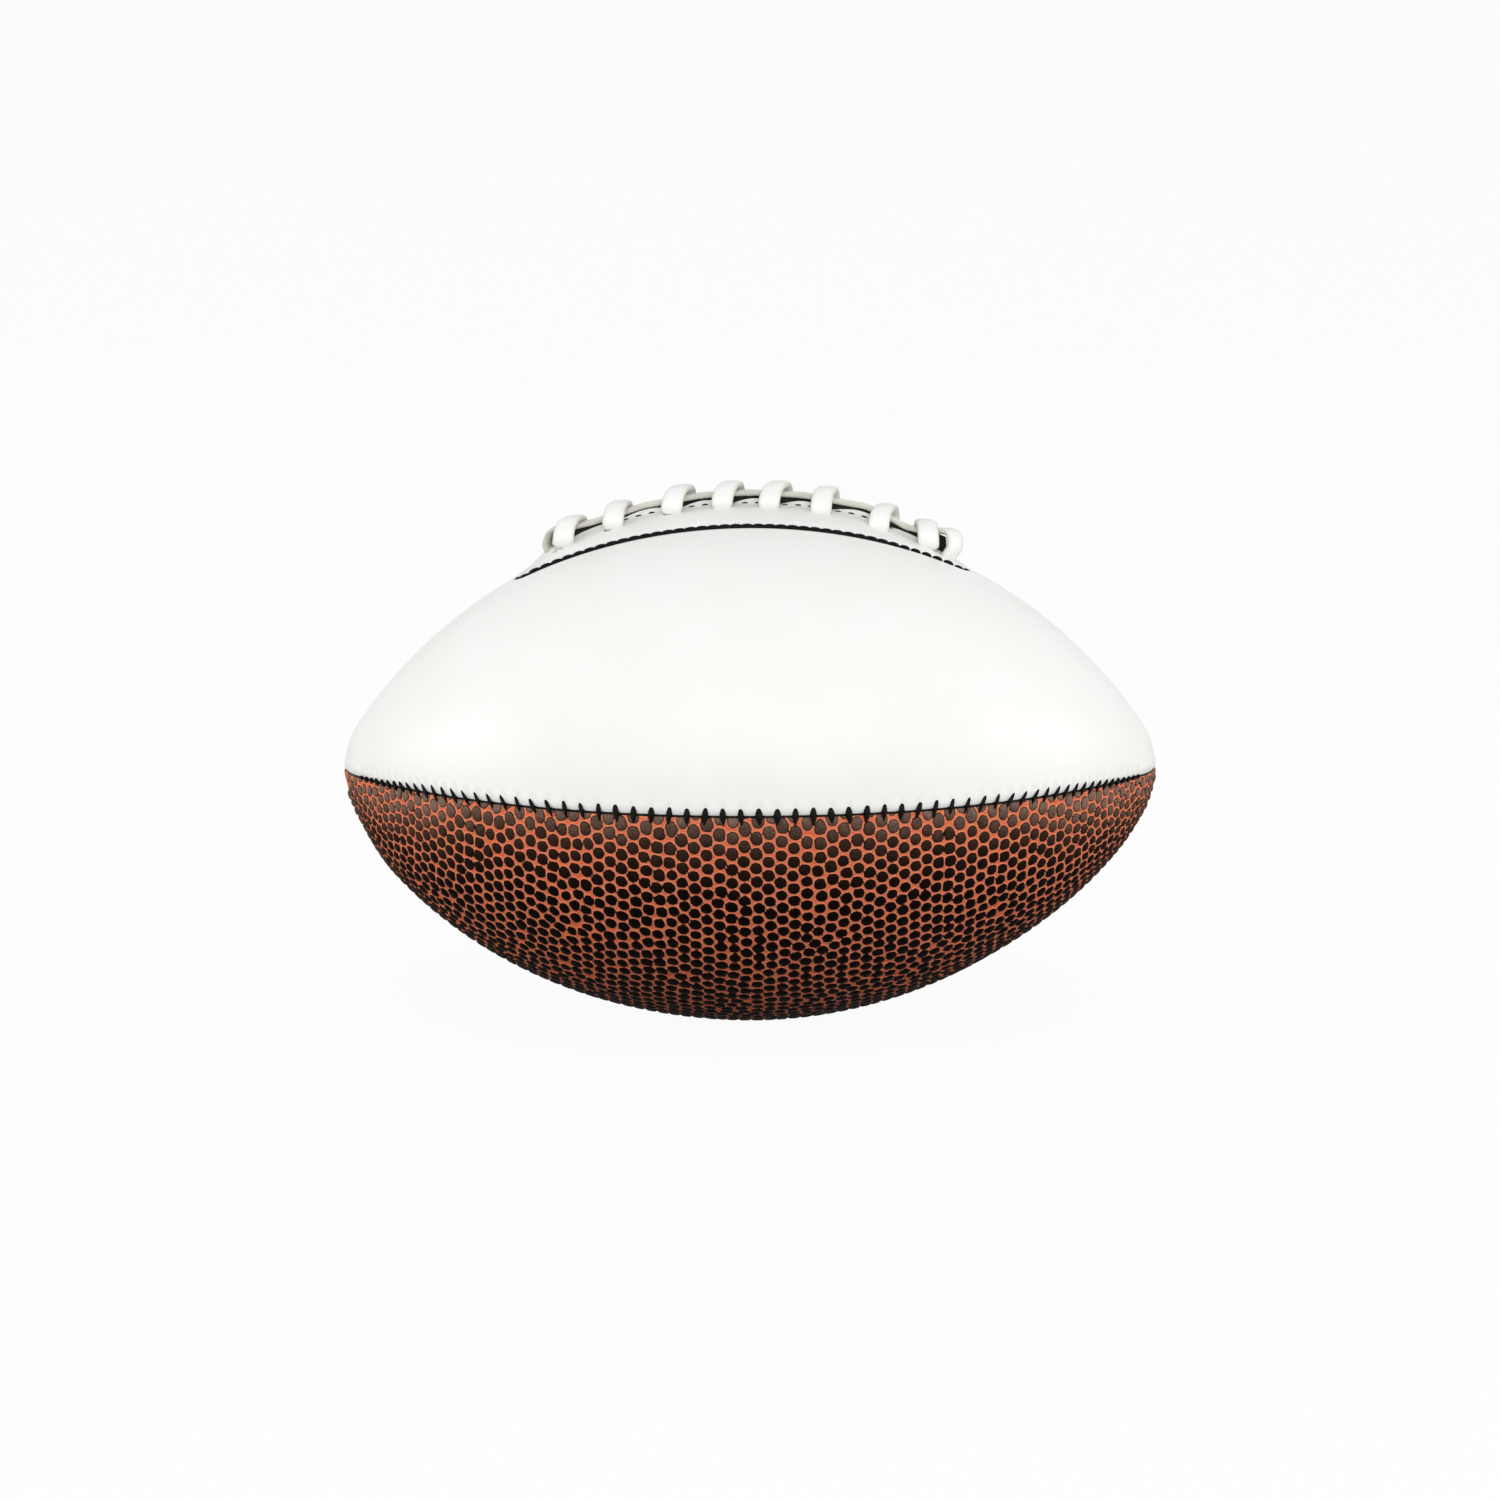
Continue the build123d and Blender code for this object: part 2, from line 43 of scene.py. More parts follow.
# Form of the ball, in millimetres as everything below until it is placed
ballForm = {
    "length": 178.0,
    "girth": 111.0,
    "nose": 18.0,  # radius of the tips
    "axisHeight": 55.3,
    "cover": 1.8,  # thickness of a panel
    "tipHole": 0.8,  # girth radius where the panels end
    # how much fuller the lower side is towards each tip, and the arcs over which that grows and fades
    "fullLeft": (2.0, (5, 88), (86, 108)),
    "fullRight": (0.9, (50, 92), (92, 108)),
    "fullTurns": (0.35, 1.4),  # angles from the bottom seam between which it dies away
    "floorGap": 0.01,  # what the pieces keep clear of the floor
}
noseX = ballForm["length"] / 2 - ballForm["nose"]
halfGirth = ballForm["girth"] / 2
belly = (noseX**2 + halfGirth**2 - ballForm["nose"] ** 2) / (2 * (halfGirth - ballForm["nose"]))
bellyDrop = belly - halfGirth
noseSlope = math.asin(noseX / (belly - ballForm["nose"]))
bellyArc = belly * noseSlope
tipArc = bellyArc + ballForm["nose"] * (math.pi / 2 - noseSlope)
panelArc = tipArc - ballForm["tipHole"]
quarter = math.pi / 2


def alongSeam(arc, lift=0.0):  # arc length from the middle to distance along X and girth radius
    size = np.abs(arc)
    onBelly = size <= bellyArc
    slope = np.where(onBelly, size / belly, noseSlope + (size - bellyArc) / ballForm["nose"])
    reach = np.where(onBelly, belly, ballForm["nose"]) + lift
    x = np.sign(arc) * (np.where(onBelly, 0.0, noseX) + reach * np.sin(slope))
    return x, reach * np.cos(slope) - np.where(onBelly, bellyDrop, 0.0)


def fullness(arc, turn):  # how far the soft lower side stands out past a true round
    out = 0.0
    for side, form in ((-1, "fullLeft"), (1, "fullRight")):
        most, grows, fades = ballForm[form]
        out = out + most * ease(side * arc, *grows) * (1 - ease(side * arc, *fades))
    fromBottom = np.abs(np.mod(turn, 2 * math.pi) - math.pi)
    return out * (1 - ease(fromBottom, *ballForm["fullTurns"]))


def onBall(arc, turn, lift=0.0):  # turn is 0 at the laces and grows towards the front; gives metres
    x, girth = alongSeam(arc, lift + fullness(arc, turn))
    rows = [x, -girth * np.sin(turn), ballForm["axisHeight"] + girth * np.cos(turn)]
    return np.stack(np.broadcast_arrays(*rows), -1) / 1000


def overTop(x, y, lift=0.0):  # a place on the upper side by its plan
    arc = belly * np.arcsin(np.asarray(x) / belly)
    return onBall(arc, np.arcsin(-np.asarray(y) / alongSeam(arc)[1]), lift)


def ease(value, low, high):  # 0 below low, 1 above high
    share = np.clip((value - low) / (high - low), 0.0, 1.0)
    return share * share * (3 - 2 * share)


def putVerts(verts, places):
    for vert, place in zip(verts, places):
        vert.co = place


def newPiece(bm, name, body, nodes, material):
    bmesh.ops.recalc_face_normals(bm, faces=bm.faces)
    if bm.calc_volume(signed=True) < 0:
        bmesh.ops.reverse_faces(bm, faces=bm.faces)
    mesh = bpy.data.meshes.new(name)
    bm.to_mesh(mesh)
    bm.free()
    mesh.materials.append(material)
    mesh.polygons.foreach_set("use_smooth", [True] * len(mesh.polygons))
    piece = bpy.data.objects.new(name, mesh)
    bpy.context.scene.collection.objects.link(piece)
    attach(piece, body)
    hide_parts(*nodes)
    return piece


def tube(bm, sides, steps, place, shaded=None):  # a grid rolled up; place gets shares round and along
    verts = bmesh.ops.create_grid(bm, x_segments=sides, y_segments=steps, size=0.5)["verts"]
    shares = np.array([vert.co[:2] for vert in verts]) + 0.5
    putVerts(verts, place(shares[:, 0], shares[:, 1]))
    if shaded:
        for vert, value in zip(verts, shaded[1](shares[:, 0], shares[:, 1])):
            vert[shaded[0]] = value
    bmesh.ops.remove_doubles(bm, verts=verts, dist=1e-7)
    loose = [edge for vert in verts if vert.is_valid for edge in vert.link_edges if edge.is_boundary]
    bmesh.ops.holes_fill(bm, edges=list(set(loose)), sides=0)


# Materials
def linear(hexColour):
    shares = [int(hexColour[i : i + 2], 16) / 255 for i in (1, 3, 5)]
    return [c / 12.92 if c <= 0.04045 else ((c + 0.055) / 1.055) ** 2.4 for c in shares] + [1.0]


def addNode(tree, kind, inputs=(), stops=(), **settings):
    node = tree.nodes.new(kind)
    for name, value in settings.items():
        setattr(node, name, value)
    for socket, value in dict(inputs).items():
        if isinstance(value, bpy.types.NodeSocket):
            tree.links.new(value, node.inputs[socket])
        else:
            node.inputs[socket].default_value = value
    for i, (place, colour) in enumerate(stops):
        elements = node.color_ramp.elements
        element = elements[i] if i < len(elements) else elements.new(place)
        element.position = place
        element.color = linear(colour)
    return node


def newMaterial(name):
    material = bpy.data.materials.new(name)
    material.use_nodes = True
    material.node_tree.nodes.clear()
    return material, material.node_tree


def endMaterial(tree, inputs):
    surface = addNode(tree, "ShaderNodeBsdfPrincipled", inputs)
    addNode(tree, "ShaderNodeOutputMaterial", {"Surface": surface.outputs["BSDF"]})


# Smooth coated leather: an even white with a faint soft grain and a satin face
def whiteLeather(name, light, shade, grainMm, roughness):
    material, tree = newMaterial(name)
    where = addNode(tree, "ShaderNodeTexCoord").outputs["Object"]
    cloud = addNode(tree, "ShaderNodeTexNoise", {"Vector": where, "Scale": 1000 / 14.0, "Detail": 3.0})
    tint = addNode(
        tree,
        "ShaderNodeValToRGB",
        {"Fac": cloud.outputs["Fac"]},
        stops=[(0.3, shade), (0.65, light)],
    )
    cells = addNode(
        tree,
        "ShaderNodeTexVoronoi",
        {"Vector": where, "Scale": 1000 / grainMm, "Randomness": 1.0},
        feature="SMOOTH_F1",
    )
    grain = addNode(
        tree,
        "ShaderNodeBump",
        {"Height": cells.outputs["Distance"], "Strength": 0.12, "Distance": 0.0002},
    )
    endMaterial(
        tree,
        {
            "Base Color": tint.outputs["Color"],
            "Normal": grain.outputs["Normal"],
            "Roughness": roughness,
            "IOR": 1.48,
        },
    )
    return material


# Pebbled leather: orange hide whose raised grains carry a dark brown ink, dull on top and bare at the rim,
# with a pale ring at each grain's rim that is a painted highlight
def pebbledLeather():
    material, tree = newMaterial("brown pebbled leather")
    where = addNode(tree, "ShaderNodeTexCoord").outputs["Object"]
    inside = addNode(tree, "ShaderNodeAttribute", attribute_name="pebbleEdge").outputs["Fac"]
    seam = addNode(tree, "ShaderNodeAttribute", attribute_name="seamNear").outputs["Fac"]
    tone = addNode(tree, "ShaderNodeAttribute", attribute_name="pebbleTone").outputs["Fac"]
    wander = addNode(tree, "ShaderNodeTexNoise", {"Vector": where, "Scale": 1000 / 0.9, "Detail": 2.0})
    ragged = addNode(
        tree,
        "ShaderNodeMath",
        {0: wander.outputs["Fac"], 1: 0.2, 2: -0.1},
        operation="MULTIPLY_ADD",
    )
    line = addNode(tree, "ShaderNodeMath", {0: inside, 1: ragged.outputs[0]}, operation="ADD")
    # millimetres from the rim of the ink, from 0.6 outside to 0.9 inside
    share = addNode(
        tree,
        "ShaderNodeMapRange",
        {"Value": line.outputs[0], "From Min": -0.6, "From Max": 0.9},
    ).outputs["Result"]
    mottle = addNode(
        tree,
        "ShaderNodeTexNoise",
        {"Vector": where, "Scale": 1000 / 0.55, "Detail": 4.0, "Roughness": 0.65},
    )
    spread = addNode(
        tree,
        "ShaderNodeMath",
        {0: tone, 1: 3.0, 2: seam},
        operation="MULTIPLY_ADD",
    )
    inkSheenPlace = addNode(
        tree,
        "ShaderNodeMath",
        {0: mottle.outputs["Fac"], 1: -9.0, 2: spread.outputs[0]},
        operation="MULTIPLY_ADD",
    )
    # the ink is painted lighter beside the seams, over about 18 millimetres, a painted sheen where the
    # leather rolls into them
    inkSheenShare = addNode(
        tree,
        "ShaderNodeMapRange",
        {"Value": inkSheenPlace.outputs[0], "From Min": -4.0, "From Max": 16.0},
    )
    inkAndSheen = addNode(
        tree,
        "ShaderNodeValToRGB",
        {"Fac": inkSheenShare.outputs["Result"]},
        stops=[(0.0, "#7f675b"), (0.15, "#5f493e"), (0.36, "#38271f"), (0.62, "#21150f"), (1.0, "#0e0806")],
    )
    # valley orange, then a pale ring that is a painted highlight on the pebbles' shoulders, then the
    # near-black edge of the ink
    hideAndRimHighlight = addNode(
        tree,
        "ShaderNodeValToRGB",
        {"Fac": share},
        stops=[(0.0, "#df6a43"), (0.26, "#e57550"), (0.36, "#ec8f6c"), (0.42, "#150b09"), (0.5, "#1e120f")],
    )
    inked = addNode(
        tree,
        "ShaderNodeMapRange",
        {"Value": line.outputs[0], "From Min": 0.04, "From Max": 0.22},
    )
    colour = addNode(
        tree,
        "ShaderNodeMix",
        {"Factor": inked.outputs["Result"], 6: hideAndRimHighlight.outputs["Color"], 7: inkAndSheen.outputs["Color"]},
        data_type="RGBA",
    )
    dull = addNode(
        tree,
        "ShaderNodeMapRange",
        {"Value": mottle.outputs["Fac"], "From Min": 0.3, "From Max": 0.7, "To Min": 0.5, "To Max": 0.72},
    )
    pores = addNode(
        tree,
        "ShaderNodeBump",
        {"Height": mottle.outputs["Fac"], "Strength": 0.35, "Distance": 0.0001},
    )
    endMaterial(
        tree,
        {
            "Base Color": colour.outputs[2],
            "Roughness": dull.outputs["Result"],
            "Normal": pores.outputs["Normal"],
            "IOR": 1.45,
            "Specular IOR Level": 0.02,
        },
    )
    return material


# Waxed thread: black, with the light caught on its fine plies
def waxedThread():
    material, tree = newMaterial("black waxed thread")
    where = addNode(tree, "ShaderNodeTexCoord").outputs["Object"]
    lay = addNode(
        tree,
        "ShaderNodeTexNoise",
        {"Vector": where, "Scale": 1000 / 0.35, "Detail": 2.0, "Distortion": 0.6},
    )
    shade = addNode(
        tree,
        "ShaderNodeValToRGB",
        {"Fac": lay.outputs["Fac"]},
        stops=[(0.45, "#040404"), (0.62, "#0b0b0a"), (0.8, "#34332f")],
    )
    plies = addNode(
        tree,
        "ShaderNodeBump",
        {"Height": lay.outputs["Fac"], "Strength": 0.5, "Distance": 0.0002},
    )
    endMaterial(
        tree,
        {
            "Base Color": shade.outputs["Color"],
            "Normal": plies.outputs["Normal"],
            "Roughness": 0.4,
            "IOR": 1.5,
            "Specular IOR Level": 0.08,
        },
    )
    return material


# Vinyl lace: white coated faces, cream cut edges, and a painted shade of cream-grey laid over the spine's
# faces
def laceVinyl():
    material, tree = newMaterial("white vinyl lace")
    where = addNode(tree, "ShaderNodeTexCoord").outputs["Object"]
    cut = addNode(tree, "ShaderNodeAttribute", attribute_name="laceCut").outputs["Fac"]
    cloud = addNode(tree, "ShaderNodeTexNoise", {"Vector": where, "Scale": 1000 / 3.0, "Detail": 4.0})
    creamShare = addNode(
        tree,
        "ShaderNodeMath",
        {0: cloud.outputs["Fac"], 1: 0.3, 2: cut},
        operation="MULTIPLY_ADD",
    )
    tint = addNode(
        tree,
        "ShaderNodeValToRGB",
        {"Fac": creamShare.outputs[0]},
        stops=[(0.15, "#f4f4f2"), (0.55, "#e4e3da"), (1.0, "#cbcabd")],
    )
    skin = addNode(
        tree,
        "ShaderNodeBump",
        {"Height": cloud.outputs["Fac"], "Strength": 0.15, "Distance": 0.0003},
    )
    endMaterial(
        tree,
        {
            "Base Color": tint.outputs["Color"],
            "Normal": skin.outputs["Normal"],
            "Roughness": 0.4,
            "IOR": 1.5,
        },
    )
    return material


# Woven backing cloth: two crossed sets of yarns, drawn coarse enough to show
def liningCloth(name, dark, light):
    material, tree = newMaterial(name)
    where = addNode(tree, "ShaderNodeTexCoord").outputs["Object"]
    bands = [
        addNode(
            tree,
            "ShaderNodeTexWave",
            {"Vector": where, "Scale": 1000 / 1.2 / 6.28, "Distortion": 0.4, "Detail": 1.0},
            bands_direction=way,
        )
        for way in ("X", "Y")
    ]
    weave = addNode(
        tree,
        "ShaderNodeMath",
        {0: bands[0].outputs["Fac"], 1: bands[1].outputs["Fac"]},
        operation="MAXIMUM",
    )
    shade = addNode(
        tree,
        "ShaderNodeValToRGB",
        {"Fac": weave.outputs[0]},
        stops=[(0.2, dark), (0.9, light)],
    )
    yarn = addNode(tree, "ShaderNodeBump", {"Height": weave.outputs[0], "Strength": 0.6, "Distance": 0.0002})
    endMaterial(
        tree,
        {"Base Color": shade.outputs["Color"], "Normal": yarn.outputs["Normal"], "Roughness": 0.9},
    )
    return material


# Moulded rubber: near black with a bloom of grey powder
def mouldedRubber(name, dark, bloom, roughness):
    material, tree = newMaterial(name)
    where = addNode(tree, "ShaderNodeTexCoord").outputs["Object"]
    powder = addNode(tree, "ShaderNodeTexNoise", {"Vector": where, "Scale": 1000 / 2.0, "Detail": 5.0})
    shade = addNode(
        tree,
        "ShaderNodeValToRGB",
        {"Fac": powder.outputs["Fac"]},
        stops=[(0.35, dark), (0.75, bloom)],
    )
    skin = addNode(
        tree,
        "ShaderNodeBump",
        {"Height": powder.outputs["Fac"], "Strength": 0.2, "Distance": 0.0002},
    )
    endMaterial(
        tree,
        {
            "Base Color": shade.outputs["Color"],
            "Normal": skin.outputs["Normal"],
            "Roughness": roughness,
            "IOR": 1.52,
        },
    )
    return material


panelWhite = whiteLeather("white coated leather", "#f6f6f4", "#f4f4f1", 0.8, 0.42)
patchWhite = whiteLeather("white patch leather", "#e9eae7", "#e2e3e0", 0.6, 0.5)
pebbleBrown = pebbledLeather()
threadBlack = waxedThread()
laceWhite = laceVinyl()
liningGrey = liningCloth("woven lining cloth", "#2c2a27", "#4f4b45")
# near black cloth, whose fold in the slit stands in for painted shade
tongueAndSlitShade = liningCloth("black woven tongue cloth", "#060606", "#121211")
bladderBlack = mouldedRubber("butyl bladder rubber", "#141414", "#242322", 0.6)
valveBlack = mouldedRubber("moulded valve rubber", "#1a1a19", "#34322f", 0.5)
print("materials made")

# Seams: how the panels roll into them and how the stitches pull them in
seamForm = {
    "pitch": 3.83,
    "endPitch": 0.5,  # share of it that is left towards the tips
    "closerArcs": (35, 105),  # over which the stitches come closer
    "lastGirth": 9.0,  # no stitches nearer the tips than this girth radius
    "gap": 0.2,  # half of the gap between two panels
    "rollWidth": 1.7,
    "plainRoll": 0.5,  # share of that width where a seam has no stitches
    "rollDepth": 0.8,
    "pinchDepth": 0.22,  # how deep a stitch pulls the leather in
    "pinchWidth": 0.75,
    "pinchReach": 2.4,
    "puff": 0.12,  # how far the leather swells between the stitches
    "puffAt": 1.9,
    "puffWidth": 1.1,
}


def stitchPitch(arc):
    closer = ease(np.abs(arc), *seamForm["closerArcs"])
    return seamForm["pitch"] * (1 - (1 - seamForm["endPitch"]) * closer)


stitchArcs = [seamForm["pitch"] / 2]
while alongSeam(stitchArcs[-1] + seamForm["pitch"])[1] >= seamForm["lastGirth"]:
    stitchArcs.append(stitchArcs[-1] + float(stitchPitch(stitchArcs[-1])))

# Patch outline: two long side arcs with a blunt round end at each tip
patchForm = {
    "middle": -1.6,  # sewn on a little to the left
    "endX": 44.97,  # where the ends start, from the middle
    "endReach": 4.3,  # how far they go on from there
    "endRadius": 4.2,  # half width there
    "halfWidth": 9.5,
    "crown": 3.35,  # height over the ball at the slit
    "slackDrop": 1.2,  # how much lower the crown is at the right
    "slackX": (22, 36),
    "flatFrom": 38.5,  # from here the ends are pulled flat
    "flatTo": 49.0,
    "flatLift": 0.45,
    "edge": 0.8,  # height at the rim
    "rim": 0.8,
    "glue": 0.15,
    "slitHalfLength": 41.4,
    "slitHalfWidth": 1.2,
    "lipRound": 0.4,
    "panelUnder": 1.5,  # how far the panels reach in under it
}
patchHalfLength = patchForm["endX"] + patchForm["endReach"]
endSquash = patchForm["endReach"] / patchForm["endRadius"]


def outlineSizes(inset):  # of an outline whose ends are true arcs
    end = patchForm["endRadius"] - inset
    half = patchForm["halfWidth"] - inset
    side = (patchForm["endX"] ** 2 + half**2 - end**2) / (2 * (half - end))
    return side, half, end, math.asin(patchForm["endX"] / (side - end))


def unsquashed(x):  # plan distance along X before the ends are made blunt
    x = np.abs(x - patchForm["middle"])
    return np.where(x > patchForm["endX"], patchForm["endX"] + (x - patchForm["endX"]) / endSquash, x)


def outsidePatch(x, y):  # signed distance from the patch's outline, in plan
    side, half, end, angle = outlineSizes(0.0)
    x, y = unsquashed(x), np.abs(y)
    bySide = np.hypot(x, y + side - half) - side
    byEnd = np.hypot(x - patchForm["endX"], y) - end
    return np.where(np.arctan2(x, y + side - half) <= angle, bySide, byEnd)


def patchEdge(x, inset=0.0):  # half width of the patch at x
    side, half, end, angle = outlineSizes(inset)
    x = unsquashed(x)
    bySide = np.sqrt(side**2 - x**2) - side + half
    byEnd = np.sqrt(np.maximum(end**2 - (x - patchForm["endX"]) ** 2, 0.0))
    return np.where(x <= side * math.sin(angle), bySide, byEnd)


def seamDip(arc, distance, girth, stitched=True):  # lift of a panel near a seam
    share = 1.0 if stitched else seamForm["plainRoll"]
    width = np.minimum(seamForm["rollWidth"] * share, 0.5 * girth)
    roll = np.sqrt(np.maximum(1 - (1 - np.minimum(distance / width, 1)) ** 2, 0)) - 1
    lastArc = stitchArcs[-1]
    spots = [-stitchArcs[0]] + stitchArcs + [lastArc + float(stitchPitch(lastArc))]
    count = np.interp(np.abs(arc), spots, np.arange(len(spots)))
    step = (count - np.rint(count)) * stitchPitch(arc)
    nearStitch = np.exp(-((step / seamForm["pinchWidth"]) ** 2))
    nearStitch = np.where(np.abs(arc) <= lastArc + stitchPitch(lastArc) / 2, nearStitch, 0)
    reach = 1 - ease(distance, 0.6 * seamForm["pinchReach"], 1.5 * seamForm["pinchReach"])
    fromPuff = (distance - seamForm["puffAt"]) / seamForm["puffWidth"]
    puff = seamForm["puff"] * np.exp(-(fromPuff**2)) * (1 - nearStitch)
    depth = seamForm["rollDepth"] * width / seamForm["rollWidth"]
    return depth * roll + stitched * (puff - seamForm["pinchDepth"] * nearStitch * reach)


# Panels: a fine outer sheet and a coarse inner one, joined along their borders
def panelSheets(bm, columns, rows, coarser, spread):
    sheets = []
    for step in (1, coarser):
        wide, long = columns // step, rows // step
        verts = bmesh.ops.create_grid(bm, x_segments=wide, y_segments=long, size=0.5)["verts"]
        shares = np.array([vert.co[:2] for vert in verts]) + 0.5
        across = shares[:, 0] - spread * np.sin(2 * math.pi * shares[:, 0]) / (2 * math.pi)
        sheets.append((verts, across, (2 * shares[:, 1] - 1) * panelArc))
    return sheets


def borderOf(verts):
    return list({edge for vert in verts for edge in vert.link_edges if edge.is_boundary})


def closePanel(bm, outer, inner):
    bmesh.ops.bridge_loops(bm, edges=borderOf(outer) + borderOf(inner))


# White panels: smooth, pinched by the stitches and pulled in under the patch
whitePanel = {
    "columns": 100,
    "rows": 460,
    "coarser": 10,  # of the inner sheet
    "spread": 0.8,  # how much closer the columns lie at the seams
    "hem": 0.15,  # ridge that the edge thread pushes up beside the patch
    "hemAt": 1.1,
    "hemWidth": 0.9,
    "dip": 0.35,  # depth to which the thread pulls the panel in at the patch
    "dipOver": (-0.3, 0.7),
    "patchTurn": 0.5,  # the patch ends well within this angle from the top
    "topRoll": (0.5, 2.5),  # past the patch's ends, where the top seam starts to roll in
}


def makeWhitePanel(name, frontwards):
    bm = bmesh.new()
    sheets = panelSheets(
        bm, whitePanel["columns"], whitePanel["rows"], whitePanel["coarser"], whitePanel["spread"]
    )
    for (verts, across, arc), inset in zip(sheets, (0.0, ballForm["cover"])):
        x, girth = alongSeam(arc)
        opening = patchEdge(x, patchForm["panelUnder"])
        fromMiddle = np.abs(x - patchForm["middle"])
        under = fromMiddle < patchHalfLength - patchForm["panelUnder"]
        gap = seamForm["gap"] / girth
        start = np.where(under, np.arcsin(np.minimum(opening / girth, 1)), gap)
        start = np.maximum(start, gap)
        swing = start + (quarter - gap - start) * across
        low = girth * (quarter - swing)
        top = girth * swing
        turn = frontwards * swing
        if inset:
            lift = np.full(len(arc), -inset)
        else:
            lateral = girth * np.sin(swing)
            out = np.where(swing < whitePanel["patchTurn"], outsidePatch(x, lateral), np.inf)
            clear = ease(fromMiddle, *(patchHalfLength + past for past in whitePanel["topRoll"]))
            lift = seamDip(arc, low, girth) + clear * seamDip(arc, top, girth, False)
            fromHem = (out - whitePanel["hemAt"]) / whitePanel["hemWidth"]
            lift += whitePanel["hem"] * np.exp(-(fromHem**2))
            lift -= whitePanel["dip"] * (1 - ease(out, *whitePanel["dipOver"]))
        putVerts(verts, onBall(arc, turn, lift))
    closePanel(bm, sheets[0][0], sheets[1][0])
    piece = newPiece(bm, name + "_skin", "ball", [name], panelWhite)
    print(name, "made,", len(piece.data.polygons), "faces")


makeWhitePanel("front_white_panel", 1)
makeWhitePanel("rear_white_panel", -1)

# Brown panels: domed pebbles with narrow valleys between them
brownPanel = {
    "columns": 190,
    "rows": 480,
    "coarser": 10,  # of the inner sheet
    "spread": 0.3,
    "pitch": 3.05,  # from one pebble to the next
    "endSmaller": 0.3,  # what they lose of it towards the tips
    "smallerArcs": (60, 105),
    "rowStep": 0.866,  # from row to row, as a share of the pitch
    "firstRow": 1.0,  # from the left tip
    "lastRow": 2.5,  # from the right tip
    "past": 3.0,  # how far the pattern goes on past the seams
    "jitter": 0.4,
    "settle": 12,  # rounds in which the pebbles push each other apart
    "push": 0.22,
    "room": 1.08,  # distance that they push for, as a share of the pitch
    "neighbours": 6,
    "largest": 1.8,  # radius
    "sizeSpread": (0.84, 1.06),
    "valley": 0.15,  # half width of the valleys
    "valleySpread": 0.06,
    "rounding": 0.17,
    "relief": 0.42,
    "shoulder": 0.75,
    "sink": 0.32,  # valleys under the smooth surface
    "flatEdge": (0.1, 1.6),  # distance from a seam over which the relief grows
    "stretch": 1.4,  # how much longer the pebbles beside a seam are
    "stretchReach": 4.0,
    # the painted sheen of the ink, lighter near the seams, reaches further at the tips
    "sheenEnds": 4.0,  # the ink at the tips is as light as this much nearer a seam
    "sheenArcs": (50, 80),
    "seed": 11,
    "valveHole": 3.5,
    "valveRing": 1.1,  # smooth leather round the hole
    "ringRim": 0.2,  # bare hide round that
}


def pebblePitch(arc):
    smaller = ease(np.abs(arc), *brownPanel["smallerArcs"])
    return brownPanel["pitch"] * (1 - brownPanel["endSmaller"] * smaller)


def pebbleSpots(fromTurn, seed):  # middles of the pebbles: jittered rows that are then spaced out
    rng = random.Random(seed)
    jitter, past, room = brownPanel["jitter"], brownPanel["past"], brownPanel["room"]
    rows = [-tipArc + brownPanel["firstRow"]]
    while rows[-1] < tipArc - brownPanel["lastRow"]:
        rows.append(rows[-1] + brownPanel["rowStep"] * float(pebblePitch(rows[-1])))
    spots = []
    for i, arc in enumerate(rows):
        pitch = float(pebblePitch(arc))
        girth = float(alongSeam(arc)[1])
        width = girth * quarter + 2 * past
        count = max(1, round(width / pitch))
        phase = 0.25 + 0.5 * (i % 2) + rng.uniform(-0.25, 0.25)
        for k in range(count):
            sideways = (k + phase) / count * width - past + rng.uniform(-1, 1) * jitter * pitch
            spots.append([arc + rng.uniform(-1, 1) * jitter * pitch, fromTurn + sideways / girth])
    spots = np.array(spots)
    for _ in range(brownPanel["settle"]):
        spots[:, 0] = np.clip(spots[:, 0], -panelArc, panelArc)
        girths = alongSeam(spots[:, 0])[1]
        pitches = pebblePitch(spots[:, 0])
        places = onBall(spots[:, 0], spots[:, 1]) * 1000
        tree = kdtree.KDTree(len(spots))
        for i, place in enumerate(places):
            tree.insert(place, i)
        tree.balance()
        moves = np.zeros_like(spots)
        for i, place in enumerate(places):
            for _, j, gap in tree.find_n(place, brownPanel["neighbours"] + 1)[1:]:
                crowded = max(0.0, 1 - gap / (room * pitches[i]))
                push = brownPanel["push"] * crowded * pitches[i] / max(gap, 0.2)
                moves[i] += push * (spots[i] - spots[j]) * [1.0, girths[i]]
        spots += moves * np.stack([np.ones(len(spots)), 1 / girths], -1)
    return onBall(np.clip(spots[:, 0], -panelArc, panelArc), spots[:, 1]) * 1000


def pebbleField(places, spots, seed):  # millimetres inside the rim of each vertex's pebble, and its tone
    rng = np.random.default_rng(seed)
    valley = brownPanel["valley"] + brownPanel["valleySpread"] * rng.random(len(spots)) ** 2
    largest = brownPanel["largest"] * rng.uniform(*brownPanel["sizeSpread"], len(spots))
    tones = rng.random(len(spots))
    tree = kdtree.KDTree(len(spots))
    for i, spot in enumerate(spots):
        tree.insert(spot, i)
    tree.balance()
    count = brownPanel["neighbours"] + 1
    near = np.array([[hit[1] for hit in tree.find_n(place, count)] for place in places])
    gaps = np.linalg.norm(places[:, None, :] - spots[near], axis=2)
    between = np.linalg.norm(spots[near[:, 1:]] - spots[near[:, :1]], axis=2)
    edges = (gaps[:, 1:] ** 2 - gaps[:, :1] ** 2) / (2 * np.maximum(between, 0.3))
    limits = np.concatenate([edges, (largest[near[:, 0]] - gaps[:, 0])[:, None]], axis=1)
    soft = brownPanel["rounding"]
    inside = -soft * np.log(np.exp(-np.clip(limits, -3, 6) / soft).sum(axis=1))
    return inside - valley[near[:, 0]], tones[near[:, 0]]


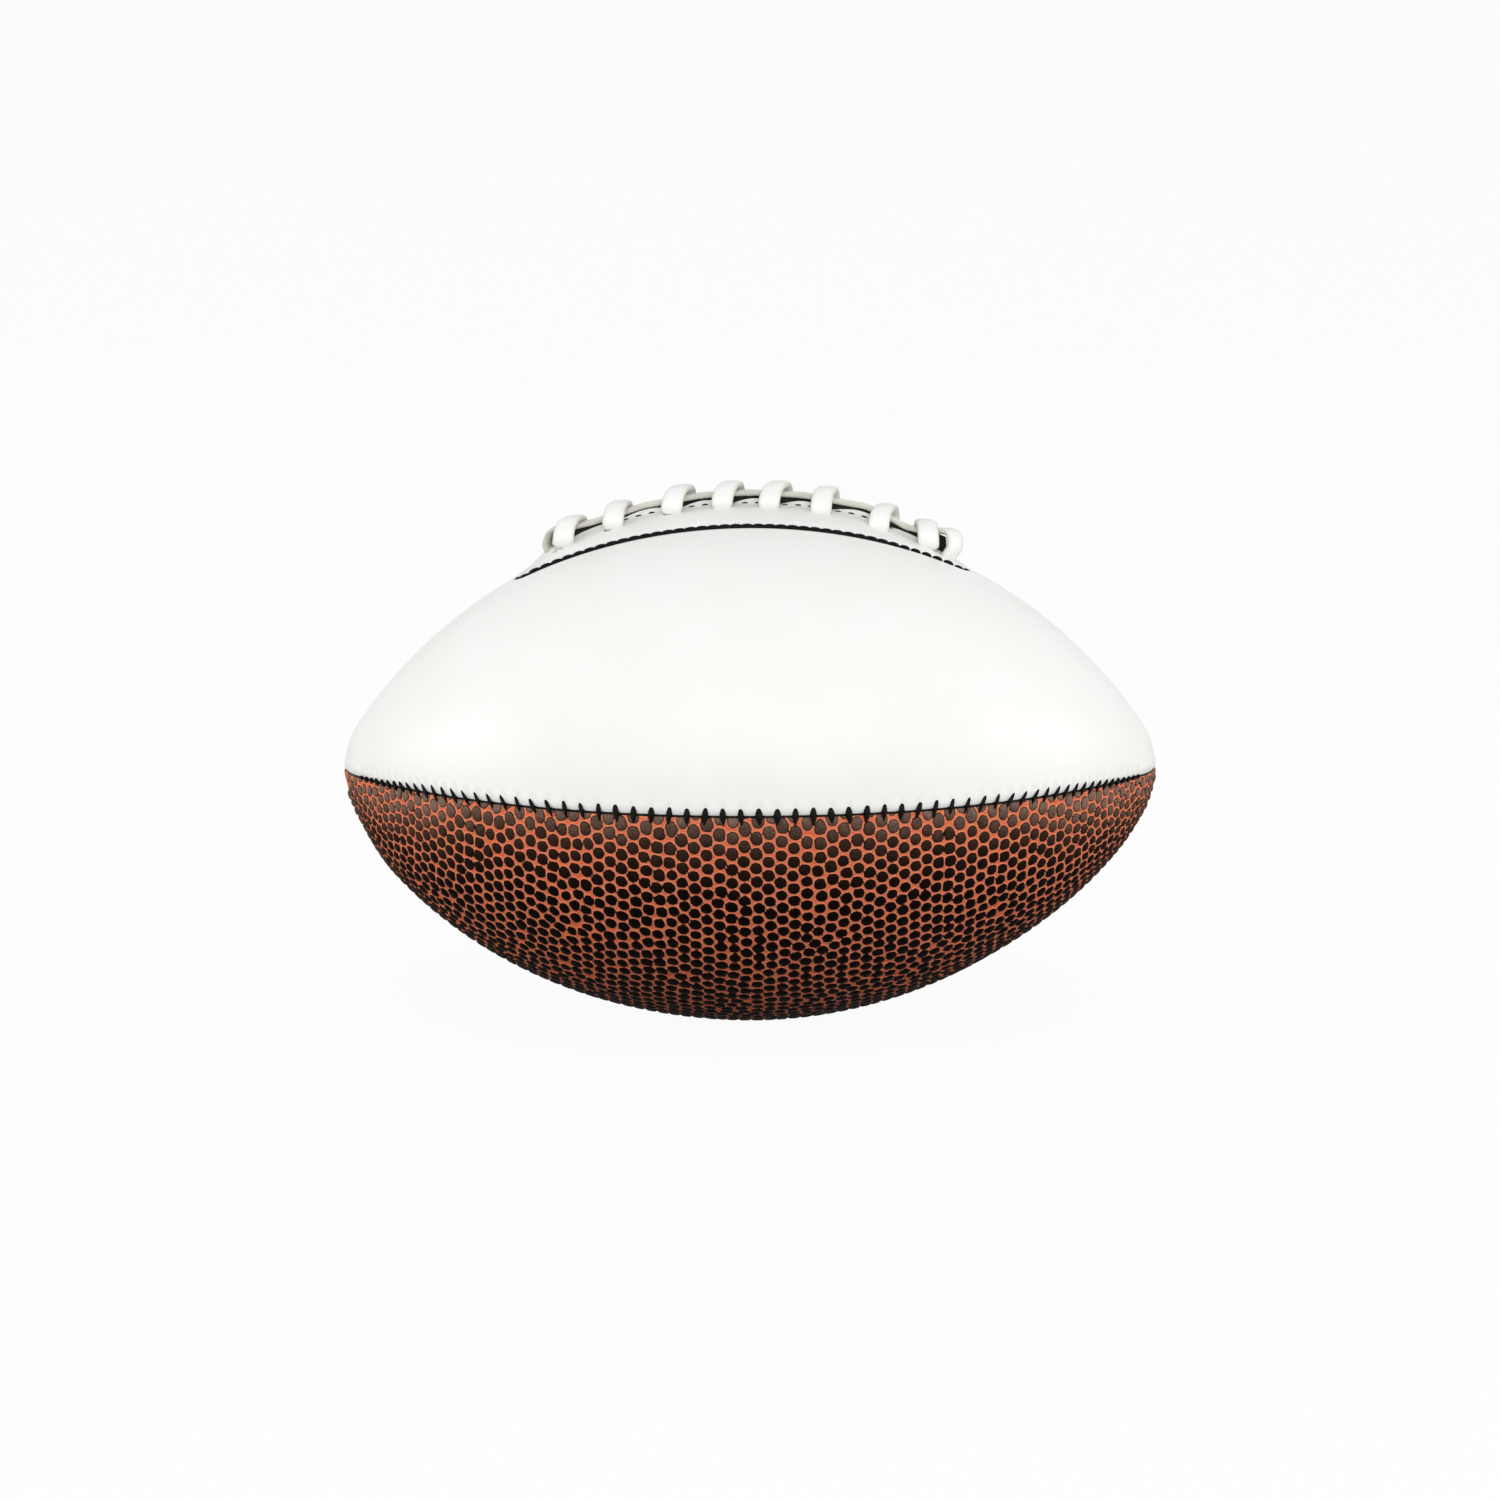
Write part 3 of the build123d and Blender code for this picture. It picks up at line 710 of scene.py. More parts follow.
def openValveHole(bm, sheets, axis):  # through both sheets of a closed panel
    def radial(vert):
        return vert.co - axisStart - axis * (vert.co - axisStart).dot(axis)

    axisStart = Vector((0, 0, ballForm["axisHeight"] / 1000))
    hole = brownPanel["valveHole"] / 1000
    inHole = [
        vert
        for verts, _, _ in sheets
        for vert in verts
        if (vert.co - axisStart).dot(axis) > 0 and radial(vert).length < hole
    ]
    bmesh.ops.delete(bm, geom=list({face for vert in inHole for face in vert.link_faces}), context="FACES")
    rims = [edge for edge in bm.edges if edge.is_boundary]
    for vert in {vert for edge in rims for vert in edge.verts}:
        spoke = radial(vert)
        vert.co += spoke * (hole / spoke.length - 1)
    bmesh.ops.bridge_loops(bm, edges=rims)


def makeBrownPanel(name, fromTurn, seed, hasValve):
    bm = bmesh.new()
    labels = ("pebbleEdge", "pebbleTone", "seamNear")
    layers = [bm.verts.layers.float.new(label) for label in labels]
    sheets = panelSheets(
        bm, brownPanel["columns"], brownPanel["rows"], brownPanel["coarser"], brownPanel["spread"]
    )
    valveTurn = fromTurn + quarter / 2
    hole, ring, rim = (brownPanel[key] for key in ("valveHole", "valveRing", "ringRim"))
    reach = brownPanel["stretchReach"]
    for (verts, across, arc), inset in zip(sheets, (0.0, ballForm["cover"])):
        girth = alongSeam(arc)[1]
        gap = seamForm["gap"] / girth
        turn = fromTurn + gap + (quarter - 2 * gap) * across
        first = girth * (turn - fromTurn)
        last = girth * (fromTurn + quarter - turn)
        sheenAtTips = brownPanel["sheenEnds"] * ease(np.abs(arc), *brownPanel["sheenArcs"])
        seamNear = np.minimum(first, last)
        if inset:
            places = onBall(arc, turn, -inset)
            inside, tones = np.full(len(arc), -0.5), np.zeros(len(arc))
        else:
            pull = brownPanel["stretch"] * (np.exp(-first / reach) - np.exp(-last / reach)) / girth
            pattern = onBall(arc, turn + pull) * 1000
            inside, tones = pebbleField(pattern, pebbleSpots(fromTurn, seed), seed)
            share = np.clip(inside / brownPanel["shoulder"], 0, 1)
            dome = np.sqrt(1 - (1 - share) ** 2)
            grown = ease(seamNear, *brownPanel["flatEdge"])
            if hasValve:
                away = np.hypot(arc, girth * (turn - valveTurn))
                grown *= ease(away, hole + 0.5 * ring, hole + 1.5 * ring)
                fromRing = away - hole - ring
                inside = np.where(fromRing < rim, -fromRing, np.minimum(inside, fromRing - 2 * rim))
            lift = seamDip(arc, first, girth) + seamDip(arc, last, girth)
            lift += grown * (brownPanel["relief"] * dome - brownPanel["sink"])
            places = onBall(arc, turn, lift)
            places[:, 2] = np.maximum(places[:, 2], ballForm["floorGap"] / 1000)
        putVerts(verts, places)
        # seamNear, drawn nearer at the tips, drives the painted sheen of the ink
        for layer, values in zip(layers, (inside, tones, seamNear - sheenAtTips)):
            for vert, value in zip(verts, values):
                vert[layer] = value
    closePanel(bm, sheets[0][0], sheets[1][0])
    if hasValve:
        openValveHole(bm, sheets, Vector((0, -math.sin(valveTurn), math.cos(valveTurn))))
    piece = newPiece(bm, name + "_skin", "ball", [name], pebbleBrown)
    print(name, "made,", len(piece.data.polygons), "faces")


makeBrownPanel("front_brown_panel", quarter, brownPanel["seed"], False)
makeBrownPanel("rear_brown_panel", 2 * quarter, brownPanel["seed"] + 1, True)

# Seam thread: a thin cord deep in the seam and a row of spindle stitches over it
seamThread = {
    "halfLength": 2.3,
    "lengthSpread": (0.93, 1.05),
    "podHalfWidth": 0.74,
    "spikeHalfWidth": 0.36,
    "podFrom": (-0.75, 0.0),  # where the spike widens to the pod, -1 and 1 are the ends
    "widthSpread": (0.9, 1.08),
    "height": 0.5,
    "bridge": -0.12,  # middle of a stitch against the smooth surface
    "dive": 0.65,
    "cordRadius": 0.34,
    "cordSides": 6,
    "cordSink": 0.6,
    "cordEnd": 2.0,  # from the tips
    "tilt": 0.12,
    "leanArcs": (15, 65),  # over which the next three come in
    "endLean": 0.5,  # how far the stitches lean over towards the tips
    "endThin": 0.5,  # and what they lose in width there
    "endRise": 0.5,  # and how far they move on to the white side
    "endShort": 0.75,  # what they lose in length at the tips
    "shortArcs": (72, 100),
    "squeezeGirth": 14.0,  # girth radius under which they are shortened to fit
    "topStart": 2.6,  # from the patch's ends to the thread of the top seam
    "seed": 5,
}


def makeSeamThread(node, seamTurn, whiteSide, arcs, seed, stitched):
    rng = random.Random(seed)
    bm = bmesh.new()

    def cord(around, along):
        angle = 2 * math.pi * around
        atTip = tipArc - seamThread["cordEnd"]
        first = -atTip if arcs[0] <= -stitchArcs[-1] else arcs[0] - seamForm["pitch"] / 2
        last = atTip if arcs[-1] >= stitchArcs[-1] else arcs[-1] + seamForm["pitch"] / 2
        arc = first + (last - first) * along
        girth = alongSeam(arc)[1]
        lift = -seamThread["cordSink"] + seamThread["cordRadius"] * np.sin(angle)
        return onBall(arc, seamTurn + seamThread["cordRadius"] * np.cos(angle) / girth, lift)

    tube(bm, seamThread["cordSides"], 2 * len(arcs), cord)
    for arc in arcs if stitched else ():
        verts = bmesh.ops.create_uvsphere(bm, u_segments=8, v_segments=8, radius=1.0)["verts"]
        shape = np.array([vert.co[:] for vert in verts])
        share = shape[:, 2]  # from the spike's end to the pod's end
        toTip = float(ease(abs(arc), *seamThread["leanArcs"]))
        size = rng.uniform(*seamThread["lengthSpread"])
        taper = ease(share, *seamThread["podFrom"])
        half = seamThread["spikeHalfWidth"] * (1 - taper) + seamThread["podHalfWidth"] * taper
        half *= rng.uniform(*seamThread["widthSpread"]) * (1 - seamThread["endThin"] * toTip)
        tilt = rng.uniform(-1, 1) * seamThread["tilt"] + math.copysign(seamThread["endLean"] * toTip, arc)
        across = share * seamThread["halfLength"] * size + seamThread["endRise"] * toTip
        across *= 1 - seamThread["endShort"] * float(ease(abs(arc), *seamThread["shortArcs"]))
        girth = float(alongSeam(arc)[1])
        squeeze = min(1.0, girth / seamThread["squeezeGirth"])
        lift = seamThread["bridge"] - seamThread["dive"] * share**4 + seamThread["height"] * shape[:, 1]
        along = arc + shape[:, 0] * half + tilt * across
        putVerts(verts, onBall(along, seamTurn + whiteSide * across * squeeze / girth, lift))
    for vert in bm.verts:
        vert.co.z = max(vert.co.z, 2 * ballForm["floorGap"] / 1000)
    newPiece(bm, node + "_stitches", "ball", [node], threadBlack)


fullSeam = [-arc for arc in reversed(stitchArcs)] + stitchArcs
topStart = patchHalfLength + seamThread["topStart"]
topRight = [arc for arc in stitchArcs if alongSeam(arc)[0] >= topStart]
topLeft = [-arc for arc in reversed(topRight)]
for i, (node, seamTurn, whiteSide, arcs, stitched) in enumerate(
    (
        ("front_seam_thread", quarter, -1, fullSeam, True),
        ("rear_seam_thread", 3 * quarter, 1, fullSeam, True),
        ("bottom_seam_thread", 2 * quarter, -1, fullSeam, True),
        ("top_left_seam_thread", 0.0, -1, topLeft, False),
        ("top_right_seam_thread", 0.0, -1, topRight, False),
    )
):
    makeSeamThread(node, seamTurn, whiteSide, arcs, seamThread["seed"] + i, stitched)
print("seam threads made,", 2 * len(stitchArcs), "stitches on a whole seam")

# Lace: one flat strand, a spine along the slit under eight straps
laceForm = {
    "sides": 20,  # of the strand's section
    "strapHalfWidth": 2.35,
    "strapHalfThickness": 0.8,
    "strapSquare": 2.6,  # of the section, 2 is an ellipse
    "strapLie": 0.2,  # share of the way from level to lying along the ball
    "strapX": [-38.3, -28.2, -14.7, -4.0, 6.4, 16.9, 29.8, 38.4],  # not quite even, as pulled by hand
    "strapTop": [7.9, 7.7, 8.3, 8.1, 8.2, 8.2, 7.3, 6.9],  # straight up over the seam
    "slant": [2.2, 1.5, 2.2, 2.0, 2.2, 1.4, 1.8, -0.5],  # from the near foot of a strap to its crest
    "backSlant": 0.4,  # share of that on from the crest to the far foot
    "halfSpan": [4.0, 4.6, 4.6, 4.6, 4.6, 4.6, 4.6, 3.9],
    "strapBend": 4.0,
    "bend": 2.0,
    "footRound": 0.9,  # height over which the corners of a foot are rounded
    "footStart": 0.45,  # how far on the rounding is where a foot meets the patch
    "footLeast": 0.25,  # and at its lowest
    "tuck": 1.3,  # how far the feet fold in under themselves
    "tuckFrom": 0.7,  # height over the patch where the fold starts
    "tuckDepth": 1.5,
    "spineHalfWidth": 1.9,
    "spineHalfThickness": 0.66,
    "spineSquare": 2.0,
    "spinePaintedShade": 0.35,  # how far the spine's faces are painted cream-grey as shade, under the straps and in the left loop
    "spineX": [-41.0, -34.5, -22.9, -10.6, 0.0, 11.5, 25.3, 29.5, 34.0, 38.5, 41.4],
    "spineLift": [5.9, 4.8, 5.2, 5.4, 5.5, 5.55, 5.5, 4.7, 3.6, 4.1, 5.6],
    # the loops at the ends, by x, y and lift
    "leftLoop": [(-43.2, 0.5, -4.4), (-43.2, 0.5, 0.8), (-44.3, 0.5, 4.0), (-43.1, 0.3, 7.2)],
    "rightLoop": [(44.7, -0.7, 6.9), (44.7, -1.7, 3.7), (42.9, -2.4, 0.2), (42.4, -2.4, -4.4)],
    "leftTurns": (-44.0, -41.5),  # x between which the left loop turns
    "rightTurns": (41.0, 45.0),
    "leftTwist": 0.55,  # how far the left loop shows its inner face
    "rightTwist": 1.1,  # how far the right loop turns its face to the front
    "runDepth": 4.45,
    "runOverlap": 1.0,  # how far the runs inside go on past the feet
    "tail": 4.0,
}

# How the patch is divided, and the lips and holes that the lace pulls in it
patchGrid = {
    "step": 0.7,
    "innerLines": [0.0, 0.6, 1.2, 1.26, 1.4, 1.65, 2.0, 2.5, 3.1, 3.6, 4.1, 4.6, 5.1, 5.6, 6.1],
    "core": 2.5,  # lines up to here keep their distance from the slit
    "coreShare": 0.6,  # of the half width, which the core never passes
    "innerShare": 0.945,
    "outerShares": [0.12, 0.25, 0.4, 0.55, 0.68, 0.78, 0.86, 0.92, 0.965, 1.0],
    "tipCut": 0.02,  # off the tips, where the outline would come to a point
    "strapHole": (1.55, 0.75),  # half sizes
    "holeShift": 0.6,  # share of the tuck by which the holes follow the feet
    "endHoles": [(0.95, 2.2), (0.95, 1.3)],
    "rimReach": 1.8,  # edges within this share of a hole's size are drawn to its rim
    "rimMargin": 0.3,  # from the patch's own edge, which stays
    "scallop": 1.25,  # rise of the slit's edges between the straps
    "scallopLow": 0.05,  # share of that left beside a strap
    "scallopWidth": 0.6,
    "scallopLoss": 0.6,  # share of it lost towards the ends
    "scallopFades": (26, 34),
    "sharpAngle": 50,  # edges bent more than this are shaded sharp
}


def betweenStraps(x):  # 1 halfway between two straps, 0 at a strap
    share = np.interp(x, laceForm["strapX"], np.arange(len(laceForm["strapX"])))
    return np.sin(math.pi * (share % 1))


def patchLift(x, y):  # height of the patch over the ball
    inward = -outsidePatch(x, y)
    crown = patchForm["crown"] - patchForm["slackDrop"] * ease(x, *patchForm["slackX"])
    swell = np.clip(inward / patchForm["halfWidth"], 0, 1)
    lift = patchForm["edge"] + (crown - patchForm["edge"]) * (1 - (1 - swell) ** 3)
    flat = ease(np.abs(x - patchForm["middle"]), patchForm["flatFrom"], patchForm["flatTo"])
    lift += flat * (np.minimum(lift, patchForm["flatLift"]) - lift)
    share = np.clip(inward / patchForm["rim"], 0, 1)
    lift -= patchForm["edge"] * (1 - np.sqrt(1 - (1 - share) ** 2))
    fromSlit = np.abs(y) - patchForm["slitHalfWidth"]
    beside = 1 - ease(np.abs(x), patchForm["slitHalfLength"] - 1, patchForm["slitHalfLength"] + 1)
    rise = patchGrid["scallopLow"] + (1 - patchGrid["scallopLow"]) * betweenStraps(x)
    rise *= 1 - patchGrid["scallopLoss"] * ease(np.abs(x), *patchGrid["scallopFades"])
    lift += patchGrid["scallop"] * beside * rise * np.exp(-((fromSlit / patchGrid["scallopWidth"]) ** 2))
    share = np.clip(fromSlit / patchForm["lipRound"], 0, 1)
    return lift - beside * patchForm["lipRound"] * (1 - np.sqrt(1 - (1 - share) ** 2))


def overSeam(x, y=0.0, lift=0.0):  # millimetres, straight up over the top seam
    x = np.asarray(x, float)
    height = ballForm["axisHeight"] + np.sqrt(belly**2 - x**2) - bellyDrop + lift
    return np.stack(np.broadcast_arrays(x, y, height), -1)


def pathPoints(corners, bend, step=0.5):  # straight runs joined by round bends, as evenly spaced points
    corners = [np.array(corner, float) for corner in corners]
    points = [corners[0]]
    for before, corner, after in zip(corners, corners[1:], corners[2:]):
        inward = (before - corner) / np.linalg.norm(before - corner)
        outward = (after - corner) / np.linalg.norm(after - corner)
        half = math.acos(np.clip(inward @ outward, -1, 1)) / 2
        middle = (inward + outward) / np.linalg.norm(inward + outward)
        centre = corner + middle * bend / math.sin(half)
        start = corner + inward * bend / math.tan(half) - centre
        end = corner + outward * bend / math.tan(half) - centre
        for share in np.linspace(0, 1, 9):
            spoke = start * (1 - share) + end * share
            points.append(centre + spoke * bend / np.linalg.norm(spoke))
    points.append(corners[-1])
    points = np.array(points)
    lengths = np.concatenate([[0], np.cumsum(np.linalg.norm(np.diff(points, axis=0), axis=1))])
    wanted = np.linspace(0, lengths[-1], int(lengths[-1] / step) + 1)
    return np.stack([np.interp(wanted, lengths, points[:, i]) for i in range(points.shape[1])], -1)


# Sweeps a rounded flat section along points; its cut edges are cream and shadeCream paints shade on its
# faces
def strand(bm, points, widths, sizes, square, shadeCream, upright=True):
    travel = np.gradient(points, axis=0)
    travel /= np.linalg.norm(travel, axis=1)[:, None]
    if upright:
        widths = widths - (widths * travel).sum(axis=1)[:, None] * travel
    widths = widths / np.linalg.norm(widths, axis=1)[:, None]
    thicks = np.cross(travel, widths)
    steps = len(points) - 1
    cutEdge = bm.verts.layers.float["laceCut"]

    def place(around, along):
        station = np.rint(along * steps).astype(int)
        angle = 2 * math.pi * around
        wide = np.sign(np.cos(angle)) * np.abs(np.cos(angle)) ** (2 / square) * sizes[station, 0]
        thick = np.sign(np.sin(angle)) * np.abs(np.sin(angle)) ** (2 / square) * sizes[station, 1]
        return (points[station] + wide[:, None] * widths[station] + thick[:, None] * thicks[station]) / 1000

    def shade(around, along):
        station = np.rint(along * steps).astype(int)
        return shadeCream[station] + (1 - shadeCream[station]) * np.abs(np.cos(2 * math.pi * around)) ** 6

    tube(bm, laceForm["sides"], steps, place, (cutEdge, shade))


def strapFoot(x, slant, side):  # where a leaning strap comes down, at the front or the rear
    return x + slant * (laceForm["backSlant"] if side > 0 else -1.0)


def makeLace():
    bm = bmesh.new()
    bm.verts.layers.float.new("laceCut")
    along, sideways = np.array([1.0, 0.0, 0.0]), np.array([0.0, 1.0, 0.0])
    spans, deep = laceForm["halfSpan"], -laceForm["runDepth"]
    strapSize = np.array([laceForm["strapHalfWidth"], laceForm["strapHalfThickness"]])
    for x, top, slant, span in zip(laceForm["strapX"], laceForm["strapTop"], laceForm["slant"], spans):
        high = top - laceForm["strapHalfThickness"]
        bend = min(laceForm["strapBend"], span - 0.2)
        flat = pathPoints([(-span, deep), (-span, high), (span, high), (span, deep)], bend)
        lean = slant * np.where(flat[:, 0] < 0, 1.0, laceForm["backSlant"]) * flat[:, 0] / span
        ground = float(patchLift(np.array(strapFoot(x, slant, -1)), np.array(span)))
        below = ground + laceForm["tuckFrom"] - flat[:, 1]
        flat[:, 0] -= np.sign(flat[:, 0]) * laceForm["tuck"] * ease(below, 0.0, laceForm["tuckDepth"])
        points = overSeam(x) + lean[:, None] * along + flat[:, :1] * sideways + flat[:, 1:] * [0, 0, 1]
        rounding = (flat[:, 1] - ground) / laceForm["footRound"] + laceForm["footStart"]
        corner = 1 - np.clip(rounding, laceForm["footLeast"], 1)
        keep = np.sqrt(1 - corner**2)
        sizes = strapSize * np.stack([keep, np.ones(len(points))], -1)
        slope = -laceForm["strapLie"] * x / math.sqrt(belly**2 - x**2)
        widths = np.repeat(np.array([[1.0, 0.0, slope]]), len(points), axis=0)
        strand(bm, points, widths, sizes, laceForm["strapSquare"], np.zeros(len(points)), False)
    corners = [overSeam(*spot) for spot in laceForm["leftLoop"]]
    corners += [overSeam(x, 0.0, lift) for x, lift in zip(laceForm["spineX"], laceForm["spineLift"])]
    corners += [overSeam(*spot) for spot in laceForm["rightLoop"]]
    points = pathPoints(corners, laceForm["bend"])
    x, order = points[:, 0], np.arange(len(points))
    inRight = np.where(order > np.argmax(x), 1.0, ease(x, *laceForm["rightTurns"]))
    inLeft = np.where(order < np.argmin(x), 1.0, 1 - ease(x, *laceForm["leftTurns"]))
    twist = laceForm["leftTwist"] * inLeft + laceForm["rightTwist"] * inRight
    widths = sideways + twist[:, None] * along
    spineSize = np.array([laceForm["spineHalfWidth"], laceForm["spineHalfThickness"]])
    sizes = spineSize + inRight[:, None] * (strapSize - spineSize)
    # the spine and left loop take a painted shade on their faces, the right loop none
    strand(bm, points, widths, sizes, laceForm["spineSquare"], laceForm["spinePaintedShade"] * (1 - inRight))
    feet = list(zip(laceForm["strapX"], laceForm["slant"]))
    past = laceForm["runOverlap"]
    runs = []  # flat stretches inside the ball, from strap to strap on alternate sides
    for i in range(len(feet) - 1):
        side = 1 if i % 2 == 0 else -1
        start, end = (strapFoot(*foot, side) for foot in feet[i : i + 2])
        runs.append([(start - past, side * spans[i]), (end + past, side * spans[i + 1])])
    runs.append([laceForm["leftLoop"][0][:2], (strapFoot(*feet[0], -1), -spans[0])])
    tail = laceForm["rightLoop"][-1]
    runs.append([tail[:2], (tail[0] + laceForm["tail"], tail[1])])
    for start, end in runs:
        plan = np.linspace(start, end, 9)
        points = overSeam(plan[:, 0], plan[:, 1], deep)
        heading = np.array(end) - np.array(start)
        widths = np.repeat(np.array([[-heading[1], heading[0], 0.0]]), len(plan), axis=0)
        sizes = np.repeat(strapSize[None], len(plan), axis=0)
        strand(bm, points, widths, sizes, laceForm["strapSquare"], np.zeros(len(plan)))
    piece = newPiece(bm, "lace_strand", "ball", ["lace"], laceWhite)
    print("lace made,", len(piece.data.polygons), "faces")


makeLace()


# Patch: a crowned oval strip with a slit, strap holes and an end hole at each end
def planOf(verts):  # in millimetres
    places = np.array([vert.co[:] for vert in verts]) * 1000
    return places[:, 0], places[:, 1]


def patchHoles():  # middle and half sizes of each hole for the lace
    holes = []
    for x, slant, span in zip(laceForm["strapX"], laceForm["slant"], laceForm["halfSpan"]):
        for side in (-1, 1):
            across = side * (span - patchGrid["holeShift"] * laceForm["tuck"])
            holes.append((strapFoot(x, slant, side), across, *patchGrid["strapHole"]))
    for spot, size in zip((laceForm["leftLoop"][1], laceForm["rightLoop"][-2]), patchGrid["endHoles"]):
        holes.append((spot[0], spot[1], *size))
    return holes


def makePatch():
    bm = bmesh.new()
    reach = patchHalfLength - patchGrid["tipCut"]
    slit = np.array([patchForm["slitHalfLength"], patchForm["slitHalfWidth"]])
    stops = [patchForm["middle"] - reach, -slit[0], slit[0], patchForm["middle"] + reach]
    lines = []
    for low, high in zip(stops, stops[1:]):
        count = round((high - low) / patchGrid["step"])
        lines += list(np.linspace(low, high, count, endpoint=False))
    lines = np.array(lines + stops[-1:])
    inner, shares = patchGrid["innerLines"], patchGrid["outerShares"]
    laterals = len(inner) + len(shares)
    columns, rows = 2 * (laterals - 1), len(lines) - 1
    verts = bmesh.ops.create_grid(bm, x_segments=columns, y_segments=rows, size=0.5)["verts"]
    spots = np.array([vert.co[:2] for vert in verts]) + 0.5
    column = np.rint(spots[:, 0] * columns).astype(int) - (laterals - 1)
    x = lines[np.rint(spots[:, 1] * rows).astype(int)]
    edge = patchEdge(x)
    level = np.abs(column)
    core = patchGrid["core"]
    kept = np.minimum(core, patchGrid["coreShare"] * edge)
    last = np.minimum(inner[-1], patchGrid["innerShare"] * edge)
    fixed = np.array(inner)[np.minimum(level, len(inner) - 1)]
    squeezed = kept + (fixed - core) * (last - kept) / (inner[-1] - core)
    fixed = np.where(fixed <= core, fixed * kept / core, squeezed)
    outer = np.array([0.0] + shares)[np.clip(level - len(inner) + 1, 0, len(shares))]
    y = np.where(level < len(inner), fixed, last + (edge - last) * outer) * np.sign(column)
    putVerts(verts, overTop(x, y, patchLift(x, y)))
    middles = np.array([face.calc_center_median()[:2] for face in bm.faces]) * 1000
    opened = (np.abs(middles) < slit).all(axis=1)
    holes = patchHoles()
    for hole in holes:
        opened |= np.hypot((middles[:, 0] - hole[0]) / hole[2], (middles[:, 1] - hole[1]) / hole[3]) < 1
    openings = [face for face, cut in zip(bm.faces, opened) if cut]
    bmesh.ops.delete(bm, geom=openings, context="FACES")
    rim = [vert for vert in bm.verts if vert.is_boundary]
    x, y = planOf(rim)
    inSlit = (np.abs(x) < slit[0] + 0.1) & (np.abs(y) < slit[1] + 0.1)
    for hole in holes:  # the rims of the lace holes are drawn out round
        away = np.hypot((x - hole[0]) / hole[2], (y - hole[1]) / hole[3])
        own = (away < patchGrid["rimReach"]) & (outsidePatch(x, y) < -patchGrid["rimMargin"]) & ~inSlit
        x = np.where(own, hole[0] + (x - hole[0]) / np.maximum(away, 0.2), x)
        y = np.where(own, hole[1] + (y - hole[1]) / np.maximum(away, 0.2), y)
    putVerts(rim, overTop(x, y, patchLift(x, y)))
    copies = bmesh.ops.extrude_face_region(bm, geom=bm.faces[:], use_keep_orig=True)
    lower = [item for item in copies["geom"] if isinstance(item, bmesh.types.BMVert)]
    putVerts(lower, overTop(*planOf(lower), patchForm["glue"]))
    piece = newPiece(bm, "lace_patch_skin", "ball", ["lace_patch"], patchWhite)
    piece.data.set_sharp_from_angle(angle=math.radians(patchGrid["sharpAngle"]))
    print("patch made,", len(piece.data.polygons), "faces")


makePatch()

# Tongue: a dark strip under the lace, with a fold raised into the slit and past its ends as a dark sheet
# that stands in for the shade in the slit and in the loops' hollows
tongueForm = {
    "halfLength": 53.5,
    "halfWidth": 10.1,
    "inset": 5.54,
    "back": 6.74,
    "flatLines": [-6.0, -3.0],  # where its flat side is divided
    "foldHalfWidth": 0.95,
    "foldWall": 0.05,  # width of the fold's steep sides
    "foldDrop": 0.25,  # from its middle to its edges
    # the fold runs past the slit's ends into the loops' hollows, a dark sheet for their shade
    "foldEnds": (-43.3, 43.3),
    "foldUnder": 0.1,  # from the fold to the spine of the lace
    "rows": 150,
}


def makeTongue():
    bm = bmesh.new()
    half, fold = tongueForm["halfWidth"], tongueForm["foldHalfWidth"]
    wall = -fold - tongueForm["foldWall"]
    lines = np.array([-half, *tongueForm["flatLines"], wall, -fold, -0.6 * fold, 0.0])
    lines = np.concatenate([lines, -lines[-2::-1]])
    columns = len(lines) - 1
    rows = tongueForm["rows"]
    verts = bmesh.ops.create_grid(bm, x_segments=columns, y_segments=rows, size=0.5)["verts"]
    shares = np.array([vert.co[:2] for vert in verts]) + 0.5
    y = lines[np.rint(shares[:, 0] * columns).astype(int)]
    x = (2 * shares[:, 1] - 1) * tongueForm["halfLength"]
    under = laceForm["spineHalfThickness"] + tongueForm["foldUnder"]
    top = np.interp(x, laceForm["spineX"], laceForm["spineLift"]) - under
    top = top - tongueForm["foldDrop"] * (y / fold) ** 2
    start, end = tongueForm["foldEnds"]
    folded = (np.abs(y) <= fold) & (x >= start) & (x <= end)
    putVerts(verts, overSeam(x, y, np.where(folded, top, -tongueForm["inset"])) / 1000)
    copies = bmesh.ops.extrude_face_region(bm, geom=bm.faces[:], use_keep_orig=True)
    lower = [item for item in copies["geom"] if isinstance(item, bmesh.types.BMVert)]
    putVerts(lower, overSeam(*planOf(lower), -tongueForm["back"]) / 1000)
    newPiece(bm, "lace_backing_tongue", "ball", ["lace_backing"], tongueAndSlitShade)
    print("tongue made")


makeTongue()

# Edge thread: fat stitches side by side round the patch, and short dashes along the slit
edgeThread = {
    "pitch": 2.45,
    "halfLength": 1.65,
    "halfWidth": 0.72,
    "halfHeight": 0.8,
    "lift": 0.15,
    "inside": 0.0,
    "loosenFrom": 27.0,  # the stitches shrink apart from here
    "loosenTo": 38.0,
    "leftLoose": 0.35,  # share of that at the left end
    "endHalfLength": 1.1,
    "endHalfHeight": 0.62,
    "tipLift": -0.1,
    "farDrop": 0.6,  # how much deeper the far side's stitches sit towards the tips
    "farDropFrom": (36, 44),
    "tipHeight": 0.65,  # share of its height that a stitch keeps at the tips
}
slitThread = {"pitch": 2.8, "halfLength": 0.72, "radius": 0.17, "side": 2.0, "ends": (-29.0, 30.5)}


